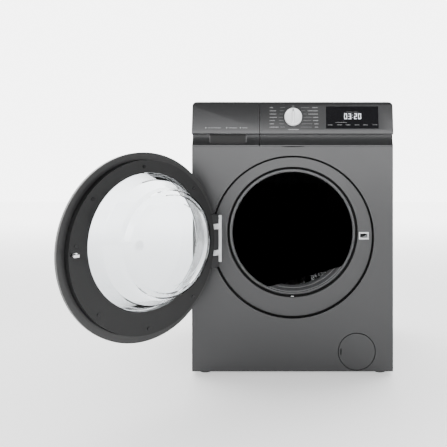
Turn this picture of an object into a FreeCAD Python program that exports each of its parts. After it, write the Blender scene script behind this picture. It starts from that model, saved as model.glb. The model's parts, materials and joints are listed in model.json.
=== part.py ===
"""A freestanding front load washing machine, 600 mm wide, as separate pieces in one frame.

The origin is on the floor under the centre of the cabinet's footprint. +X is to the right of someone
facing the machine, +Y is to the rear and +Z is up. Sizes are in millimetres and live in the sheet "Sizes".
The door is built shut and then turned about its hinge pin to the angle at which it stands open.
"""

import FreeCAD, Part
import os
import re

import Sketcher

# Driving sizes: name, value, meaning.
SIZES = [
    ("cabinet_width", 600, "over the side panels"),
    ("cabinet_depth", 560, "front panel face to rear panel face"),
    ("cabinet_height", 816, "floor to the top of the worktop"),
    ("foot_gap", 9.3, "floor to the bottom of the cabinet"),
    ("sheet", 1.2, "thickness of the steel sheet"),
    ("flange", 14, "depth of the returned edges"),
    ("seam", 0.2, "air between pieces that are fixed together"),
    ("gap", 0.5, "air between pieces that move past each other"),
    ("running", 0.05, "radial clearance of a shaft in its bearing"),
    ("corner_radius", 15, "rounding of the top corners seen from the front"),
    ("worktop_height", 26, "height of the worktop and its frame"),
    ("worktop_setback", 20, "front panel face to the front of the worktop"),
    ("worktop_edge", 16, "width of the frame around the worktop board"),
    ("board_thickness", 14, "thickness of the worktop board"),
    ("plastic_wall", 3, "wall of the large mouldings"),
    ("box_wall", 2, "wall of the dispenser and its drawer"),
    ("fascia_height", 135, "height of the control fascia"),
    ("strip_height", 35, "height of the hollowed strip below the control panel"),
    ("strip_hollow", 12, "depth of the hollowed strip"),
    ("panel_proud", 4.5, "how far the control panel stands out at its fullest"),
    ("panel_brow", 13, "height from the panel's lower edge to its fullest line"),
    ("fascia_lean", 9, "backward lean of the control panel, degrees"),
    ("drawer_width", 202, "width of the drawer front"),
    ("drawer_depth", 228, "length of the drawer tray"),
    ("drawer_height", 66, "height of the drawer tray"),
    ("dispenser_rise", 17, "dispenser housing's underside above the fascia's lower edge"),
    ("handle_width", 112, "width of the drawer's finger recess"),
    ("handle_height", 21, "height of the drawer's finger recess"),
    ("handle_depth", 15, "depth of the drawer's finger recess"),
    ("handle_back", 2.5, "wall behind the drawer's finger recess"),
    ("handle_lip", 4, "wall of the panel that the fingers pull on"),
    ("handle_rise", 13, "how far the finger recess reaches up behind the panel"),
    ("knob_radius", 26.5, "radius of the programme knob"),
    ("knob_height", 24, "how far the knob stands out"),
    ("knob_x", 2, "knob centre across the cabinet"),
    ("knob_rise", 38, "knob centre above the panel's fullest line"),
    ("encoder_shaft", 3, "radius of the knob's shaft"),
    ("knob_sink", 15, "how far the knob's shaft reaches behind the panel"),
    ("board_sink", 16, "control board behind the panel's face"),
    ("board_sheet", 1.6, "thickness of the control board"),
    ("display_width", 156, "width of the display window"),
    ("display_height", 68, "height of the display window"),
    ("display_x", 178, "display centre across the cabinet"),
    ("display_rise", 38, "display centre above the panel's fullest line"),
    ("window_sheet", 2, "thickness of the display window"),
    ("axis_height", 424, "height of the drum's axis"),
    ("porthole_radius", 196, "radius of the opening in the front panel"),
    ("collar_depth", 35, "front panel face to the back of the opening's collar"),
    ("recess_height", 410, "height of the centre of the door and its recess"),
    ("recess_radius", 244, "radius of the door recess"),
    ("recess_depth", 14, "depth of the door recess"),
    ("ear_reach", 266, "how far left the recess reaches at the hinge"),
    ("ear_height", 168, "height of the recess at the hinge"),
    ("ear_centre", 402, "height of the middle of the hinge"),
    ("hinge_x", -239, "hinge pin across the cabinet"),
    ("hinge_stand", 25, "hinge pin ahead of the front panel face"),
    ("hinge_pin", 4, "radius of the hinge pin"),
    ("knuckle", 6.2, "radius of the bracket's knuckles"),
    ("knuckle_height", 15, "height of each bracket arm"),
    ("knuckle_pitch", 77, "distance between the two bracket arms"),
    ("arm_thickness", 9, "thickness of each bracket arm"),
    ("arm_offset", 11, "how far the arms' shanks stand right of the pin"),
    ("bracket_width", 23, "width of the hinge bracket's plate"),
    ("bracket_height", 140, "height of the hinge bracket's plate"),
    ("bracket_plate", 3, "thickness of the hinge bracket's plate"),
    ("door_open", 128, "angle at which the door stands open, degrees"),
    ("door_radius", 241, "radius of the door's rim"),
    ("door_gap", 8, "gap between the rim's back and the front panel"),
    ("door_thickness", 32, "rim's back to the front of the outer ring"),
    ("door_step", 221, "radius of the raised inner face of the door"),
    ("door_step_height", 16, "how far the inner face stands behind the rim's back"),
    ("window_radius", 190, "radius of the outer window in the ring"),
    ("glass_radius", 175, "radius of the hole that shows the glass bowl"),
    ("glass_wall", 5, "wall of the glass bowl"),
    ("bowl_depth", 102, "depth of the glass bowl behind its flange"),
    ("bowl_end_radius", 133, "radius of the bowl where its end turns in"),
    ("hook_reach", 22, "how far the latch hook stands out of the door"),
    ("hook_x", 211, "latch hook across the cabinet, door shut"),
    ("hook_z", 413, "height of the latch hook"),
    ("hook_height", 6, "height of the latch hook"),
    ("latch_pin", 2, "radius of the latch hook's pin"),
    ("lip_radius", 165.5, "radius of the door seal's lip"),
    ("seal_wall", 4.3, "wall of the door seal"),
    ("neck_radius", 208, "outer radius of the tub's mouth"),
    ("tub_front", 105, "front panel face to the tub's front wall"),
    ("neck_length", 15, "length of the tub's mouth"),
    ("tub_radius", 275, "outer radius of the tub"),
    ("tub_wall", 3, "wall of the tub"),
    ("tub_split", 320, "front panel face to the joint between the tub halves"),
    ("tub_back", 500, "front panel face to the tub's rear wall outside"),
    ("tub_flange", 288, "radius of the bolted flange between the tub halves"),
    ("tub_flange_width", 6, "thickness of each half's flange"),
    ("drum_radius", 250, "outer radius of the drum"),
    ("drum_sheet", 1, "thickness of the drum's steel"),
    ("drum_front", 120, "front panel face to the front of the drum"),
    ("drum_back", 470, "front panel face to the flat of the drum's back"),
    ("drum_mouth", 188, "radius of the drum's mouth"),
    ("star_depth", 22, "how far the back's star stands forward"),
    ("star_round", 243, "radius of the hollows that shape the star"),
    ("star_pitch", 305, "distance of those hollows from the axis"),
    ("hub_radius", 55, "radius of the hub cap"),
    ("hub_depth", 14, "how far the hub cap stands ahead of the star"),
    ("lifter_height", 52, "height of a drum lifter"),
    ("lifter_foot", 60, "width of a lifter at the drum wall"),
    ("lifter_crest", 22, "width of a lifter at its crest"),
    ("lifter_length", 300, "length of a lifter"),
    ("spider_arm", 36, "width of a spider arm"),
    ("spider_depth", 12, "thickness of a spider arm"),
    ("spider_hub", 38, "radius of the spider's hub"),
    ("shaft_radius", 15, "radius of the drum shaft in the front bearing"),
    ("shaft_tail", 12.5, "radius of the drum shaft in the rear bearing"),
    ("front_bearing_radius", 31, "outer radius of the front bearing"),
    ("front_bearing_width", 16, "width of the front bearing"),
    ("rear_bearing_radius", 26, "outer radius of the rear bearing"),
    ("rear_bearing_width", 15, "width of the rear bearing"),
    ("bearing_space", 3, "shoulder between the two bearings"),
    ("housing_radius", 46, "outer radius of the bearing housing"),
    ("pulley_radius", 150, "radius of the drum pulley"),
    ("pulley_width", 12, "width of the drum pulley"),
    ("pulley_start", 538, "front panel face to the front of the pulley"),
    ("belt_thickness", 3, "thickness of the drive belt"),
    ("motor_x", 105, "motor axis across the cabinet"),
    ("motor_z", 112, "height of the motor axis"),
    ("motor_radius", 50, "radius of the motor"),
    ("motor_length", 100, "length of the motor"),
    ("motor_start", 420, "front panel face to the front of the motor"),
    ("motor_shaft", 6, "radius of the motor shaft"),
    ("motor_pulley", 9, "radius of the motor pulley"),
    ("damper_x", 215, "dampers to the middle of the cabinet"),
    ("damper_y", 20, "dampers behind the middle of the cabinet"),
    ("damper_radius", 14, "outer radius of a damper"),
    ("damper_rod", 5, "radius of a damper rod"),
    ("damper_top", 150, "height of the top of a damper cylinder"),
    ("lug_size", 24, "width of the tub's lugs"),
    ("damper_lug", 225, "height of the underside of the damper lugs"),
    ("spring_x", 240, "springs to the middle of the cabinet"),
    ("spring_y", 60, "springs behind the middle of the cabinet"),
    ("spring_radius", 14, "outer radius of a suspension spring"),
    ("spring_wire", 3, "wall of a suspension spring's envelope"),
    ("spring_lug", 606, "height of the top of the spring lugs"),
    ("rail_height", 26, "height of the top rails"),
    ("rail_width", 28, "width of the top rails"),
    ("flap_x", 191.5, "filter flap centre across the cabinet"),
    ("flap_z", 68.5, "filter flap centre above the floor"),
    ("flap_radius", 56, "radius of the flap's opening"),
    ("flap_clearance", 0.8, "gap around the filter flap"),
    ("flap_sheet", 2.5, "thickness of the filter flap"),
    ("flap_clip", 9, "depth of the ring that clips the flap in"),
    ("filter_radius", 32, "radius of the filter's screw cap"),
    ("cap_setback", 18, "front panel face to the filter's cap"),
    ("cap_depth", 12, "depth of the filter's cap"),
    ("chamber_wall", 3.5, "wall of the filter chamber"),
    ("chamber_length", 138, "length of the filter chamber"),
    ("hose_radius", 20, "inner radius of the sump hose's spigots"),
    ("hose_wall", 3, "wall of the sump hose and its spigots"),
    ("sump_y", -140, "sump hose from the middle of the cabinet"),
    ("foot_radius", 18, "radius of a levelling foot"),
    ("foot_stud", 5, "radius of a foot's stud"),
    ("foot_x", 264, "feet to the middle of the cabinet"),
    ("foot_y", 245, "feet ahead of and behind the middle"),
    ("base_height", 35, "height of the base tray"),
    ("boss_radius", 12, "radius of the base's foot bosses"),
    ("inlet_radius", 13.2, "radius of the water inlet's thread"),
    ("inlet_x", -200, "water inlet across the cabinet"),
    ("inlet_drop", 45, "water inlet below the worktop"),
    ("drain_radius", 10, "radius of the drain outlet"),
    ("drain_x", 262, "drain outlet across the cabinet"),
    ("drain_z", 70, "height of the drain outlet"),
    ("gland_radius", 9, "radius of the mains cable gland"),
    ("gland_bore", 4.5, "radius of the gland's bore"),
    ("gland_x", 240, "cable gland across the cabinet"),
    ("gland_z", 720, "height of the cable gland"),
    ("transit_radius", 17, "radius of the transit bolt holes"),
    ("transit_x", 150, "transit bolt holes to the middle"),
    ("transit_low", 250, "height of the lower transit bolt holes"),
    ("transit_high", 560, "height of the upper transit bolt holes"),
    ("screw_head", 4.2, "radius of the small screws' heads"),
    ("screw_rise", 1.6, "height of the small screws' heads"),
]

# Places that several pieces share, worked out from the sizes above.
PLACES = {
    "half_width": "cabinet_width / 2",
    "front": "-cabinet_depth / 2",
    "rear": "cabinet_depth / 2",
    "worktop_floor": "cabinet_height - worktop_height",
    "fascia_floor": "cabinet_height - fascia_height",
    "strip_top": "fascia_floor + strip_height",
    "brow": "strip_top + panel_brow",
    "knob_z": "brow + knob_rise",
    "display_z": "brow + display_rise",
    "dispenser_floor": "fascia_floor + dispenser_rise",
    "inlet_z": "worktop_floor - inlet_drop",
    "fascia_back": "front + worktop_setback - seam",
    "drawer_right": "-half_width + drawer_width",
    "hinge_y": "front - hinge_stand",
    "rim_back": "front - door_gap",
    "ring_front": "rim_back - door_thickness",
    "inner_face": "rim_back + door_step_height",
    "bowl_seat": "rim_back - seam",
    "bowl_end": "bowl_seat + bowl_depth",
    "recess_floor": "front + recess_depth",
    "bracket_face": "recess_floor - sheet - bracket_plate - seam",
    "tub_face": "front + tub_front",
    "tub_joint": "front + tub_split",
    "tub_end": "front + tub_back",
    "drum_face": "front + drum_front",
    "drum_end": "front + drum_back",
    "spider_face": "drum_end + drum_sheet + seam",
    "front_bearing_y": "tub_end + box_wall",
    "rear_bearing_y": "front_bearing_y + front_bearing_width + bearing_space",
    "housing_end": "rear_bearing_y + rear_bearing_width",
    "pulley_y": "front + pulley_start",
    "motor_y": "front + motor_start",
    "cap_y": "front + cap_setback",
    "chamber_y": "cap_y + cap_depth",
    "rail_floor": "worktop_floor - rail_height - seam",
}

VALUES = {name: value for name, value, meaning in SIZES}
# The way each direction turns a primitive that stands along +Z.
TURNS = {
    "z": (0, 0, 1, 0),
    "y": (1, 0, 0, -90),
    "x": (0, 1, 0, 90),
}
NODES = []
CABINET_SCREWS = []

doc = FreeCAD.newDocument("FrontLoadWasher")
sheet = doc.addObject("Spreadsheet::Sheet", "Sizes")
for row, (name, value, meaning) in enumerate(SIZES, 1):
    sheet.set(f"A{row}", name)
    sheet.set(f"B{row}", str(value))
    sheet.set(f"C{row}", meaning)
    sheet.setAlias(f"B{row}", name)
doc.recompute()


def formula(text):
    """A size expression with every place spelt out and every size taken from the sheet."""

    def spell(match):
        word = match.group(0)
        if word in PLACES:
            return "(" + formula(PLACES[word]) + ")"
        return "Sizes." + word if word in VALUES else word

    return re.sub(r"[a-z_]+", spell, str(text))


def number(text):
    """The present value of a size expression."""
    return float(doc.getObject("Sizes").evalExpression(formula(text)))


def bind(thing, **sizes):
    """Bind properties of a document object to size expressions."""
    for name, text in sizes.items():
        thing.setExpression(name, formula(text))
    return thing


def put(thing, x, y, z, turn=TURNS["z"]):
    """Place a document object at a point, turned about an axis."""
    ux, uy, uz, angle = turn
    thing.setExpression(
        "Placement",
        f"placement(vector({formula(x)}; {formula(y)}; {formula(z)}); "
        f"rotation(vector({ux}; {uy}; {uz}); {formula(angle)}))",
    )
    return thing


def box(name, x, y, z):
    """A block between the two values given for each axis."""
    thing = bind(
        doc.addObject("Part::Box", name),
        Length=f"({x[1]}) - ({x[0]})",
        Width=f"({y[1]}) - ({y[0]})",
        Height=f"({z[1]}) - ({z[0]})",
    )
    return put(thing, x[0], y[0], z[0])


def rod(name, along, start, radius, length):
    """A round bar along an axis from a start point."""
    thing = bind(doc.addObject("Part::Cylinder", name), Radius=radius, Height=length)
    return put(thing, *start, TURNS[along])


def rod_y(name, x, z, y, radius):
    """A round bar front to back between two values of y."""
    return rod(name, "y", (x, y[0], z), radius, f"({y[1]}) - ({y[0]})")


def cut(name, base, *tools):
    """The base with every tool taken away."""
    tool = tools[0]
    if len(tools) > 1:
        tool = fuse(name + "_tools", *tools)
    thing = doc.addObject("Part::Cut", name)
    thing.Base = base
    thing.Tool = tool
    return thing


def fuse(name, *pieces):
    """Pieces joined into one."""
    thing = doc.addObject("Part::MultiFuse", name)
    thing.Shapes = list(pieces)
    thing.Refine = True
    return thing


def common(name, *pieces):
    """What all the pieces share."""
    thing = doc.addObject("Part::MultiCommon", name)
    thing.Shapes = list(pieces)
    return thing


def ring(name, along, start, outer, inner, length):
    """A tube along an axis."""
    over = f"({length}) + 2"
    offset = {"x": (-1, 0, 0), "y": (0, -1, 0), "z": (0, 0, -1)}[along]
    inside = tuple(f"({at}) + ({shift})" for at, shift in zip(start, offset))
    return cut(
        name,
        rod(name + "_outside", along, start, outer, length),
        rod(name + "_bore", along, inside, inner, over),
    )


def group(name, *pieces):
    """Separate solids kept together in one node."""
    thing = doc.addObject("Part::Compound", name)
    thing.Links = list(pieces)
    return thing


def outline(body, name, role, points):
    """A closed sketch on one of the body's planes, each corner bound to two size expressions."""
    sketch = body.newObject("Sketcher::SketchObject", name)
    planes = {feature.Role: feature for feature in body.Origin.OriginFeatures}
    sketch.AttachmentSupport = [(planes[role], "")]
    sketch.MapMode = "FlatFace"
    corners = [FreeCAD.Vector(number(u), number(v), 0) for u, v in points]
    count = len(corners)
    for i, corner in enumerate(corners):
        sketch.addGeometry(Part.LineSegment(corner, corners[(i + 1) % count]))
    for i in range(count):
        following = (i + 1) % count
        sketch.addConstraint(Sketcher.Constraint("Coincident", i, 2, following, 1))
    for i, (corner, texts) in enumerate(zip(corners, points)):
        for kind, at, text in zip(("DistanceX", "DistanceY"), corner[:2], texts):
            held = sketch.addConstraint(Sketcher.Constraint(kind, -1, 1, i, 1, at))
            label = f"corner_{i}_{kind[-1].lower()}"
            sketch.renameConstraint(held, label)
            sketch.setExpression("Constraints." + label, formula(text))
    return sketch


def spun(name, points, x="0", z="axis_height"):
    """A solid of revolution about a front to back axis, from (y, radius) corners."""
    body = doc.addObject("PartDesign::Body", name)
    sketch = outline(body, name + "_section", "YZ_Plane", points)
    turned = body.newObject("PartDesign::Revolution", name + "_turned")
    turned.Profile = sketch
    turned.ReferenceAxis = (sketch, ["H_Axis"])
    turned.Angle = 360
    return put(body, x, "0", z)


def padded(name, role, points, start, length, offset=("0", "0", "0")):
    """An outline on a plane, padded away from it from a start distance."""
    body = doc.addObject("PartDesign::Body", name)
    sketch = outline(body, name + "_section", role, points)
    sketch.setExpression("AttachmentOffset.Base.z", formula(start))
    pad = body.newObject("PartDesign::Pad", name + "_pad")
    pad.Profile = sketch
    bind(pad, Length=length)
    return put(body, *offset)


def rounded(name, x, y, z, radius, wanted):
    """A block with some edges rounded; wanted says which, from an edge's middle and direction."""
    body = doc.addObject("PartDesign::Body", name)
    corners = [(x[0], y[0]), (x[1], y[0]), (x[1], y[1]), (x[0], y[1])]
    sketch = outline(body, name + "_section", "XY_Plane", corners)
    sketch.setExpression("AttachmentOffset.Base.z", formula(z[0]))
    pad = body.newObject("PartDesign::Pad", name + "_pad")
    pad.Profile = sketch
    bind(pad, Length=f"({z[1]}) - ({z[0]})")
    doc.recompute()
    middle = pad.Shape.BoundBox.Center
    chosen = []
    for i, edge in enumerate(pad.Shape.Edges, 1):
        way = edge.tangentAt(edge.FirstParameter)
        if wanted(edge.CenterOfMass - middle, way):
            chosen.append(f"Edge{i}")
    fillet = body.newObject("PartDesign::Fillet", name + "_rounding")
    fillet.Base = (pad, chosen)
    bind(fillet, Radius=radius)
    return body


def top_side_edges(middle, way):
    """The two upper edges that run front to back."""
    return middle.z > 0 and abs(way.y) > 0.9


def along_y_edges(middle, way):
    """The four edges that run front to back."""
    return abs(way.y) > 0.9


def node(label, thing):
    """Name a finished sub-part."""
    thing.Label = label
    NODES.append(thing)
    return thing


def on_door(label, thing):
    """Name a finished piece of the door and turn it open about the hinge pin."""
    own = dict(thing.ExpressionEngine).get("Placement")
    turned = (
        f"placement(vector(0; 0; 0); rotation(vector(0; 0; 1); -{formula('door_open')}); "
        f"vector({formula('hinge_x')}; {formula('hinge_y')}; 0))"
    )
    thing.setExpression("Placement", f"{turned} * {own}" if own else turned)
    return node(label, thing)


def on_panel(thing, x, z, aside="0", down="0", out="0"):
    """Stand a thing on the leaning control panel, its own +Z pointing out of the panel."""
    y = f"front - panel_proud + (({z}) - (brow)) * tan(fascia_lean)"
    thing.setExpression(
        "Placement",
        f"placement(vector({formula(x)}; {formula(y)}; {formula(z)}); "
        f"rotation(vector(1; 0; 0); 90 - {formula('fascia_lean')})) * "
        f"placement(vector({formula(aside)}; {formula(down)}; {formula(out)}); "
        "rotation(vector(0; 0; 1); 0))",
    )
    return thing


def mirrored_pairs(make):
    """Make a thing on the left and on the right."""
    return [make(side, f"{side} * ") for side in (-1, 1)]


# ---- cabinet ----


def front_panel():
    """The pressed front: a flat face, the door's recess with its ear, and the porthole's collar."""
    face = box(
        "front_face",
        ("-half_width", "half_width"),
        ("front", "front + flange"),
        ("foot_gap", "fascia_floor"),
    )
    hollow = box(
        "front_hollow",
        ("-half_width + sheet", "half_width - sheet"),
        ("front + sheet", "front + flange + 1"),
        ("foot_gap + sheet", "fascia_floor - sheet"),
    )
    ear = ("ear_centre - ear_height / 2", "ear_centre + ear_height / 2")
    pan = fuse(
        "recess_outside",
        rod_y("recess_round", "0", "recess_height", ("front", "recess_floor"), "recess_radius"),
        rounded("recess_ear", ("-ear_reach", "0"), ("front", "recess_floor"), ear, 14, along_y_edges),
    )
    depth = ("front - 1", "recess_floor - sheet")
    inside_ear = (f"{ear[0]} + sheet", f"{ear[1]} - sheet")
    dish = fuse(
        "recess_inside",
        rod_y("dish_round", "0", "recess_height", depth, "recess_radius - sheet"),
        rounded("dish_ear", ("-ear_reach + sheet", "0"), depth, inside_ear, 13, along_y_edges),
    )
    collar = rod_y(
        "collar", "0", "axis_height", (
            "recess_floor - sheet", "front + collar_depth"
        ), "porthole_radius + sheet"
    )
    opening = rod_y(
        "porthole", "0", "axis_height", ("front - 1", "front + collar_depth + 1"), "porthole_radius"
    )
    slot = box(
        "lock_opening",
        ("hook_x - 9", "hook_x + 15"),
        ("front", "front + flange + 1"),
        ("hook_z - 7", "hook_z + 7"),
    )
    flap = rod_y("flap_opening", "flap_x", "flap_z", ("front - 1", "front + 2 * sheet"), "flap_radius")
    shell = cut("front_shell", face, hollow)
    return node(
        "front_panel", cut("front", fuse("front_pressed", shell, pan, collar), dish, opening, slot, flap)
    )


def side_panels():
    """Two steel sides, each with a returned edge at the front and at the rear."""
    for side, label in ((-1, "left_side_panel"), (1, "right_side_panel")):
        edge = f"{side} * half_width"
        inner = f"{side} * (half_width - sheet)"
        lip = f"{side} * (half_width - flange)"
        near = "front + flange + seam"
        far = "rear - sheet - seam"
        section = [
            (edge, near),
            (edge, "rear"),
            (inner, "rear"),
            (inner, far),
            (lip, far),
            (lip, f"{far} - sheet"),
            (inner, f"{far} - sheet"),
            (inner, f"{near} + sheet"),
            (lip, f"{near} + sheet"),
            (lip, near),
        ]
        panel = padded(label + "_body", "XY_Plane", section, "foot_gap", "worktop_floor - foot_gap")
        notch = box(
            label + "_notch",
            ("-half_width - 1", "half_width + 1"),
            ("front", "front + worktop_setback"),
            ("fascia_floor", "worktop_floor + 1"),
        )
        node(label, cut(label + "_cut", panel, notch))


def rear_panel():
    """The rear sheet, with its service holes."""
    sheet_block = box(
        "rear_sheet",
        ("-half_width + sheet + seam", "half_width - sheet - seam"),
        ("rear - sheet", "rear"),
        ("foot_gap", "worktop_floor"),
    )
    depth = ("rear - sheet - 1", "rear + 1")
    holes = [
        rod_y("inlet_hole", "inlet_x", "inlet_z", depth, "inlet_radius + 3"),
        rod_y("drain_hole", "drain_x", "drain_z", depth, "drain_radius + 3"),
        rod_y("gland_hole", "gland_x", "gland_z", depth, "gland_radius + seam"),
    ]
    for i, (x, z) in enumerate(transit_places()):
        holes.append(rod_y(f"transit_hole_{i}", x, z, depth, "transit_radius"))
    for i, (x, z) in enumerate(rear_screw_places()):
        holes.append(rod_y(f"screw_hole_{i}", x, z, depth, "screw_head / 2"))
    return node("rear_panel", cut("rear", sheet_block, *holes))


def transit_places():
    """The four transit bolt holes, across and up."""
    return [(f"{side} * transit_x", level) for level in ("transit_low", "transit_high") for side in (-1, 1)]


def rear_screw_places():
    """Six screws up the sides of the rear panel, across and up."""
    levels = ("foot_gap + 40", "axis_height", "worktop_floor - 25")
    return [(f"{side} * (half_width - sheet - seam - 7)", level) for level in levels for side in (-1, 1)]


def worktop():
    """The worktop: a board in a moulded edge with rounded sides, hollow beneath."""
    width = ("-half_width", "half_width")
    length = ("front + worktop_setback", "rear")
    frame = rounded(
        "frame_block", width, length, ("worktop_floor", "cabinet_height"), "corner_radius", top_side_edges
    )
    under = box(
        "frame_underside",
        ("-half_width + worktop_edge", "half_width - worktop_edge"),
        ("front + worktop_setback + worktop_edge", "rear - worktop_edge"),
        ("worktop_floor - 1", "cabinet_height - board_thickness"),
    )
    node("worktop", cut("top", frame, under))


def base_tray():
    """The base moulding with four bosses for the feet."""
    x = "half_width - sheet - seam - 0.2"
    y = ("front + flange + 2", "rear - 3 * sheet")
    top = "foot_gap + base_height"
    block = box("base_block", (f"-({x})", x), y, ("foot_gap", top))
    hollow = box(
        "base_hollow",
        (f"-({x}) + plastic_wall", f"{x} - plastic_wall"),
        (f"{y[0]} + plastic_wall", f"{y[1]} - plastic_wall"),
        ("foot_gap + plastic_wall", f"{top} + 1"),
    )
    notch = rod_y("base_notch", "flap_x", "flap_z", ("front", "chamber_y + 4"), "flap_radius + 4")
    bosses = [
        rod(f"base_boss_{i}", "z", (fx, fy, "foot_gap"), "boss_radius", "base_height")
        for i, (fx, fy) in enumerate(foot_places())
    ]
    holes = [
        rod(f"base_hole_{i}", "z", (fx, fy, "foot_gap - 1"), "foot_stud + gap", "base_height + 2")
        for i, (fx, fy) in enumerate(foot_places())
    ]
    tray = fuse("base_walls", cut("base_shell", block, hollow), *bosses)
    return node("base_tray", cut("base", tray, notch, *holes))


def foot_places():
    """The four feet: front left, front right, rear left, rear right."""
    return [(f"{sx} * foot_x", f"{sy} * foot_y") for sy in (-1, 1) for sx in (-1, 1)]


def feet():
    """Four levelling feet, each a pad on a threaded stud."""
    names = ("foot_front_left", "foot_front_right", "foot_rear_left", "foot_rear_right")
    for label, (x, y) in zip(names, foot_places()):
        pad = rod(label + "_pad", "z", (x, y, "0"), "foot_radius", "foot_gap - gap")
        stud = rod(label + "_stud", "z", (x, y, "0"), "foot_stud", "foot_gap + base_height + 6")
        node(label, fuse(label + "_body", pad, stud))


def top_rails():
    """Two rails under the worktop that carry the springs, and the brace between them."""

    def rail(side, sign):
        beam = box(
            f"rail_{side}",
            (f"half_width - sheet - seam - rail_width", "half_width - sheet - seam"),
            ("0", "rear - 3 * sheet"),
            ("rail_floor", "worktop_floor - seam"),
        )
        hanger = box(
            f"hanger_{side}",
            ("spring_x - spring_radius", "half_width - sheet - seam - 1"),
            ("spring_y - spring_radius", "spring_y + spring_radius"),
            ("rail_floor", "rail_floor + plastic_wall"),
        )
        joined = fuse(f"rail_hanger_{side}", beam, hanger)
        if side > 0:
            return joined
        mirrored = doc.addObject("Part::Mirroring", "rail_mirrored")
        mirrored.Source = joined
        mirrored.Normal = (1, 0, 0)
        return mirrored

    reach = "half_width - sheet - 2 * seam - rail_width"
    brace = box("brace", (f"-({reach})", reach), ("190", "214"), ("rail_floor", "worktop_floor - seam"))
    node("top_rails", group("rails", *mirrored_pairs(rail), brace))


# ---- control panel and dispenser ----


def fascia_outside():
    """The section that the fascia and the drawer front share, from the seam at the bottom to the top edge."""
    lean = "(cabinet_height - 10 - (brow)) * tan(fascia_lean)"
    return [
        ("front", "fascia_floor + seam"),
        ("front", "fascia_floor + 3"),
        ("front + strip_hollow * 0.55", "fascia_floor + strip_height * 0.38"),
        ("front + strip_hollow * 0.92", "fascia_floor + strip_height * 0.7"),
        ("front + strip_hollow", "strip_top - 1"),
        ("front - panel_proud + 1.5", "strip_top + 1"),
        ("front - panel_proud", "strip_top + 4"),
        ("front - panel_proud", "brow"),
        (f"front - panel_proud + {lean}", "cabinet_height - 10"),
        ("front + worktop_setback * 0.55", "cabinet_height - 2.5"),
        ("front + worktop_setback * 0.85", "cabinet_height"),
        ("fascia_back", "cabinet_height"),
    ]


def front_outline():
    """The shape of the fascia seen from the front, with rounded top corners."""
    return rounded(
        "front_outline",
        ("-half_width", "half_width"),
        ("front - 40", "front + 60"),
        ("fascia_floor", "cabinet_height"),
        "corner_radius",
        top_side_edges,
    )


def control_fascia():
    """The hollow moulding to the right of the drawer, with the knob's hole and the display's seat."""
    outer = fascia_outside() + [("fascia_back", "fascia_floor + seam")]
    width = "half_width - drawer_right - 1 + seam"
    start = "drawer_right + 1 - seam"
    block = padded("fascia_block", "YZ_Plane", outer, start, width)
    inner = [
        ("front + plastic_wall", "fascia_floor + 2 * plastic_wall"),
        ("front + strip_hollow * 0.55 + plastic_wall", "fascia_floor + strip_height * 0.42"),
        ("front + strip_hollow + plastic_wall", "fascia_floor + strip_height * 0.75"),
        ("front + strip_hollow + plastic_wall", "strip_top + plastic_wall"),
        ("front - panel_proud + plastic_wall", "strip_top + 2 * plastic_wall"),
        ("front - panel_proud + plastic_wall", "brow"),
        (
            "front - panel_proud + (cabinet_height - 12 - (brow)) * tan(fascia_lean) + plastic_wall",
            "cabinet_height - 12",
        ),
        ("front + worktop_setback - 2", "cabinet_height - plastic_wall - 1"),
        ("rear", "cabinet_height - plastic_wall - 1"),
        ("rear", "fascia_floor + 2 * plastic_wall"),
    ]
    cavity = padded(
        "fascia_cavity", "YZ_Plane", inner, f"{start} + plastic_wall", f"{width} - 2 * plastic_wall"
    )
    shaft_hole = on_panel(
        bind(doc.addObject("Part::Cylinder", "shaft_hole"), Radius="encoder_shaft + gap", Height="30"),
        "knob_x",
        "knob_z",
        out="-15",
    )
    seat = bind(
        doc.addObject("Part::Box", "display_seat"),
        Length="display_width + 2 * seam",
        Width="display_height + 2 * seam",
        Height="window_sheet + 20",
    )
    on_panel(
        seat,
        "display_x",
        "display_z",
        "-display_width / 2 - seam",
        "-display_height / 2 - seam",
        "-window_sheet",
    )
    view = bind(
        doc.addObject("Part::Box", "display_view"),
        Length="display_width - 10",
        Width="display_height - 10",
        Height="20",
    )
    on_panel(view, "display_x", "display_z", "5 - display_width / 2", "5 - display_height / 2", "-10")
    shell = cut("fascia_shell", block, cavity, shaft_hole, seat, view)
    return node("control_fascia", common("fascia", shell, front_outline()))


def knob():
    """The programme knob with its grip and its shaft."""
    skirt = bind(
        doc.addObject("Part::Cone", "knob_skirt"),
        Radius1="knob_radius",
        Radius2="knob_radius - 1.5",
        Height="knob_height * 0.72",
    )
    on_panel(skirt, "knob_x", "knob_z", out="gap")
    grip = bind(
        doc.addObject("Part::Box", "knob_grip"),
        Length="9",
        Width="2 * knob_radius - 8",
        Height="knob_height - gap",
    )
    on_panel(grip, "knob_x", "knob_z", "-4.5", "4 - knob_radius", "gap")
    shaft = bind(
        doc.addObject("Part::Cylinder", "knob_shaft"), Radius="encoder_shaft", Height="knob_sink + gap + 1"
    )
    on_panel(shaft, "knob_x", "knob_z", out="-knob_sink")
    node("programme_knob", fuse("knob", skirt, grip, shaft))


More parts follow.
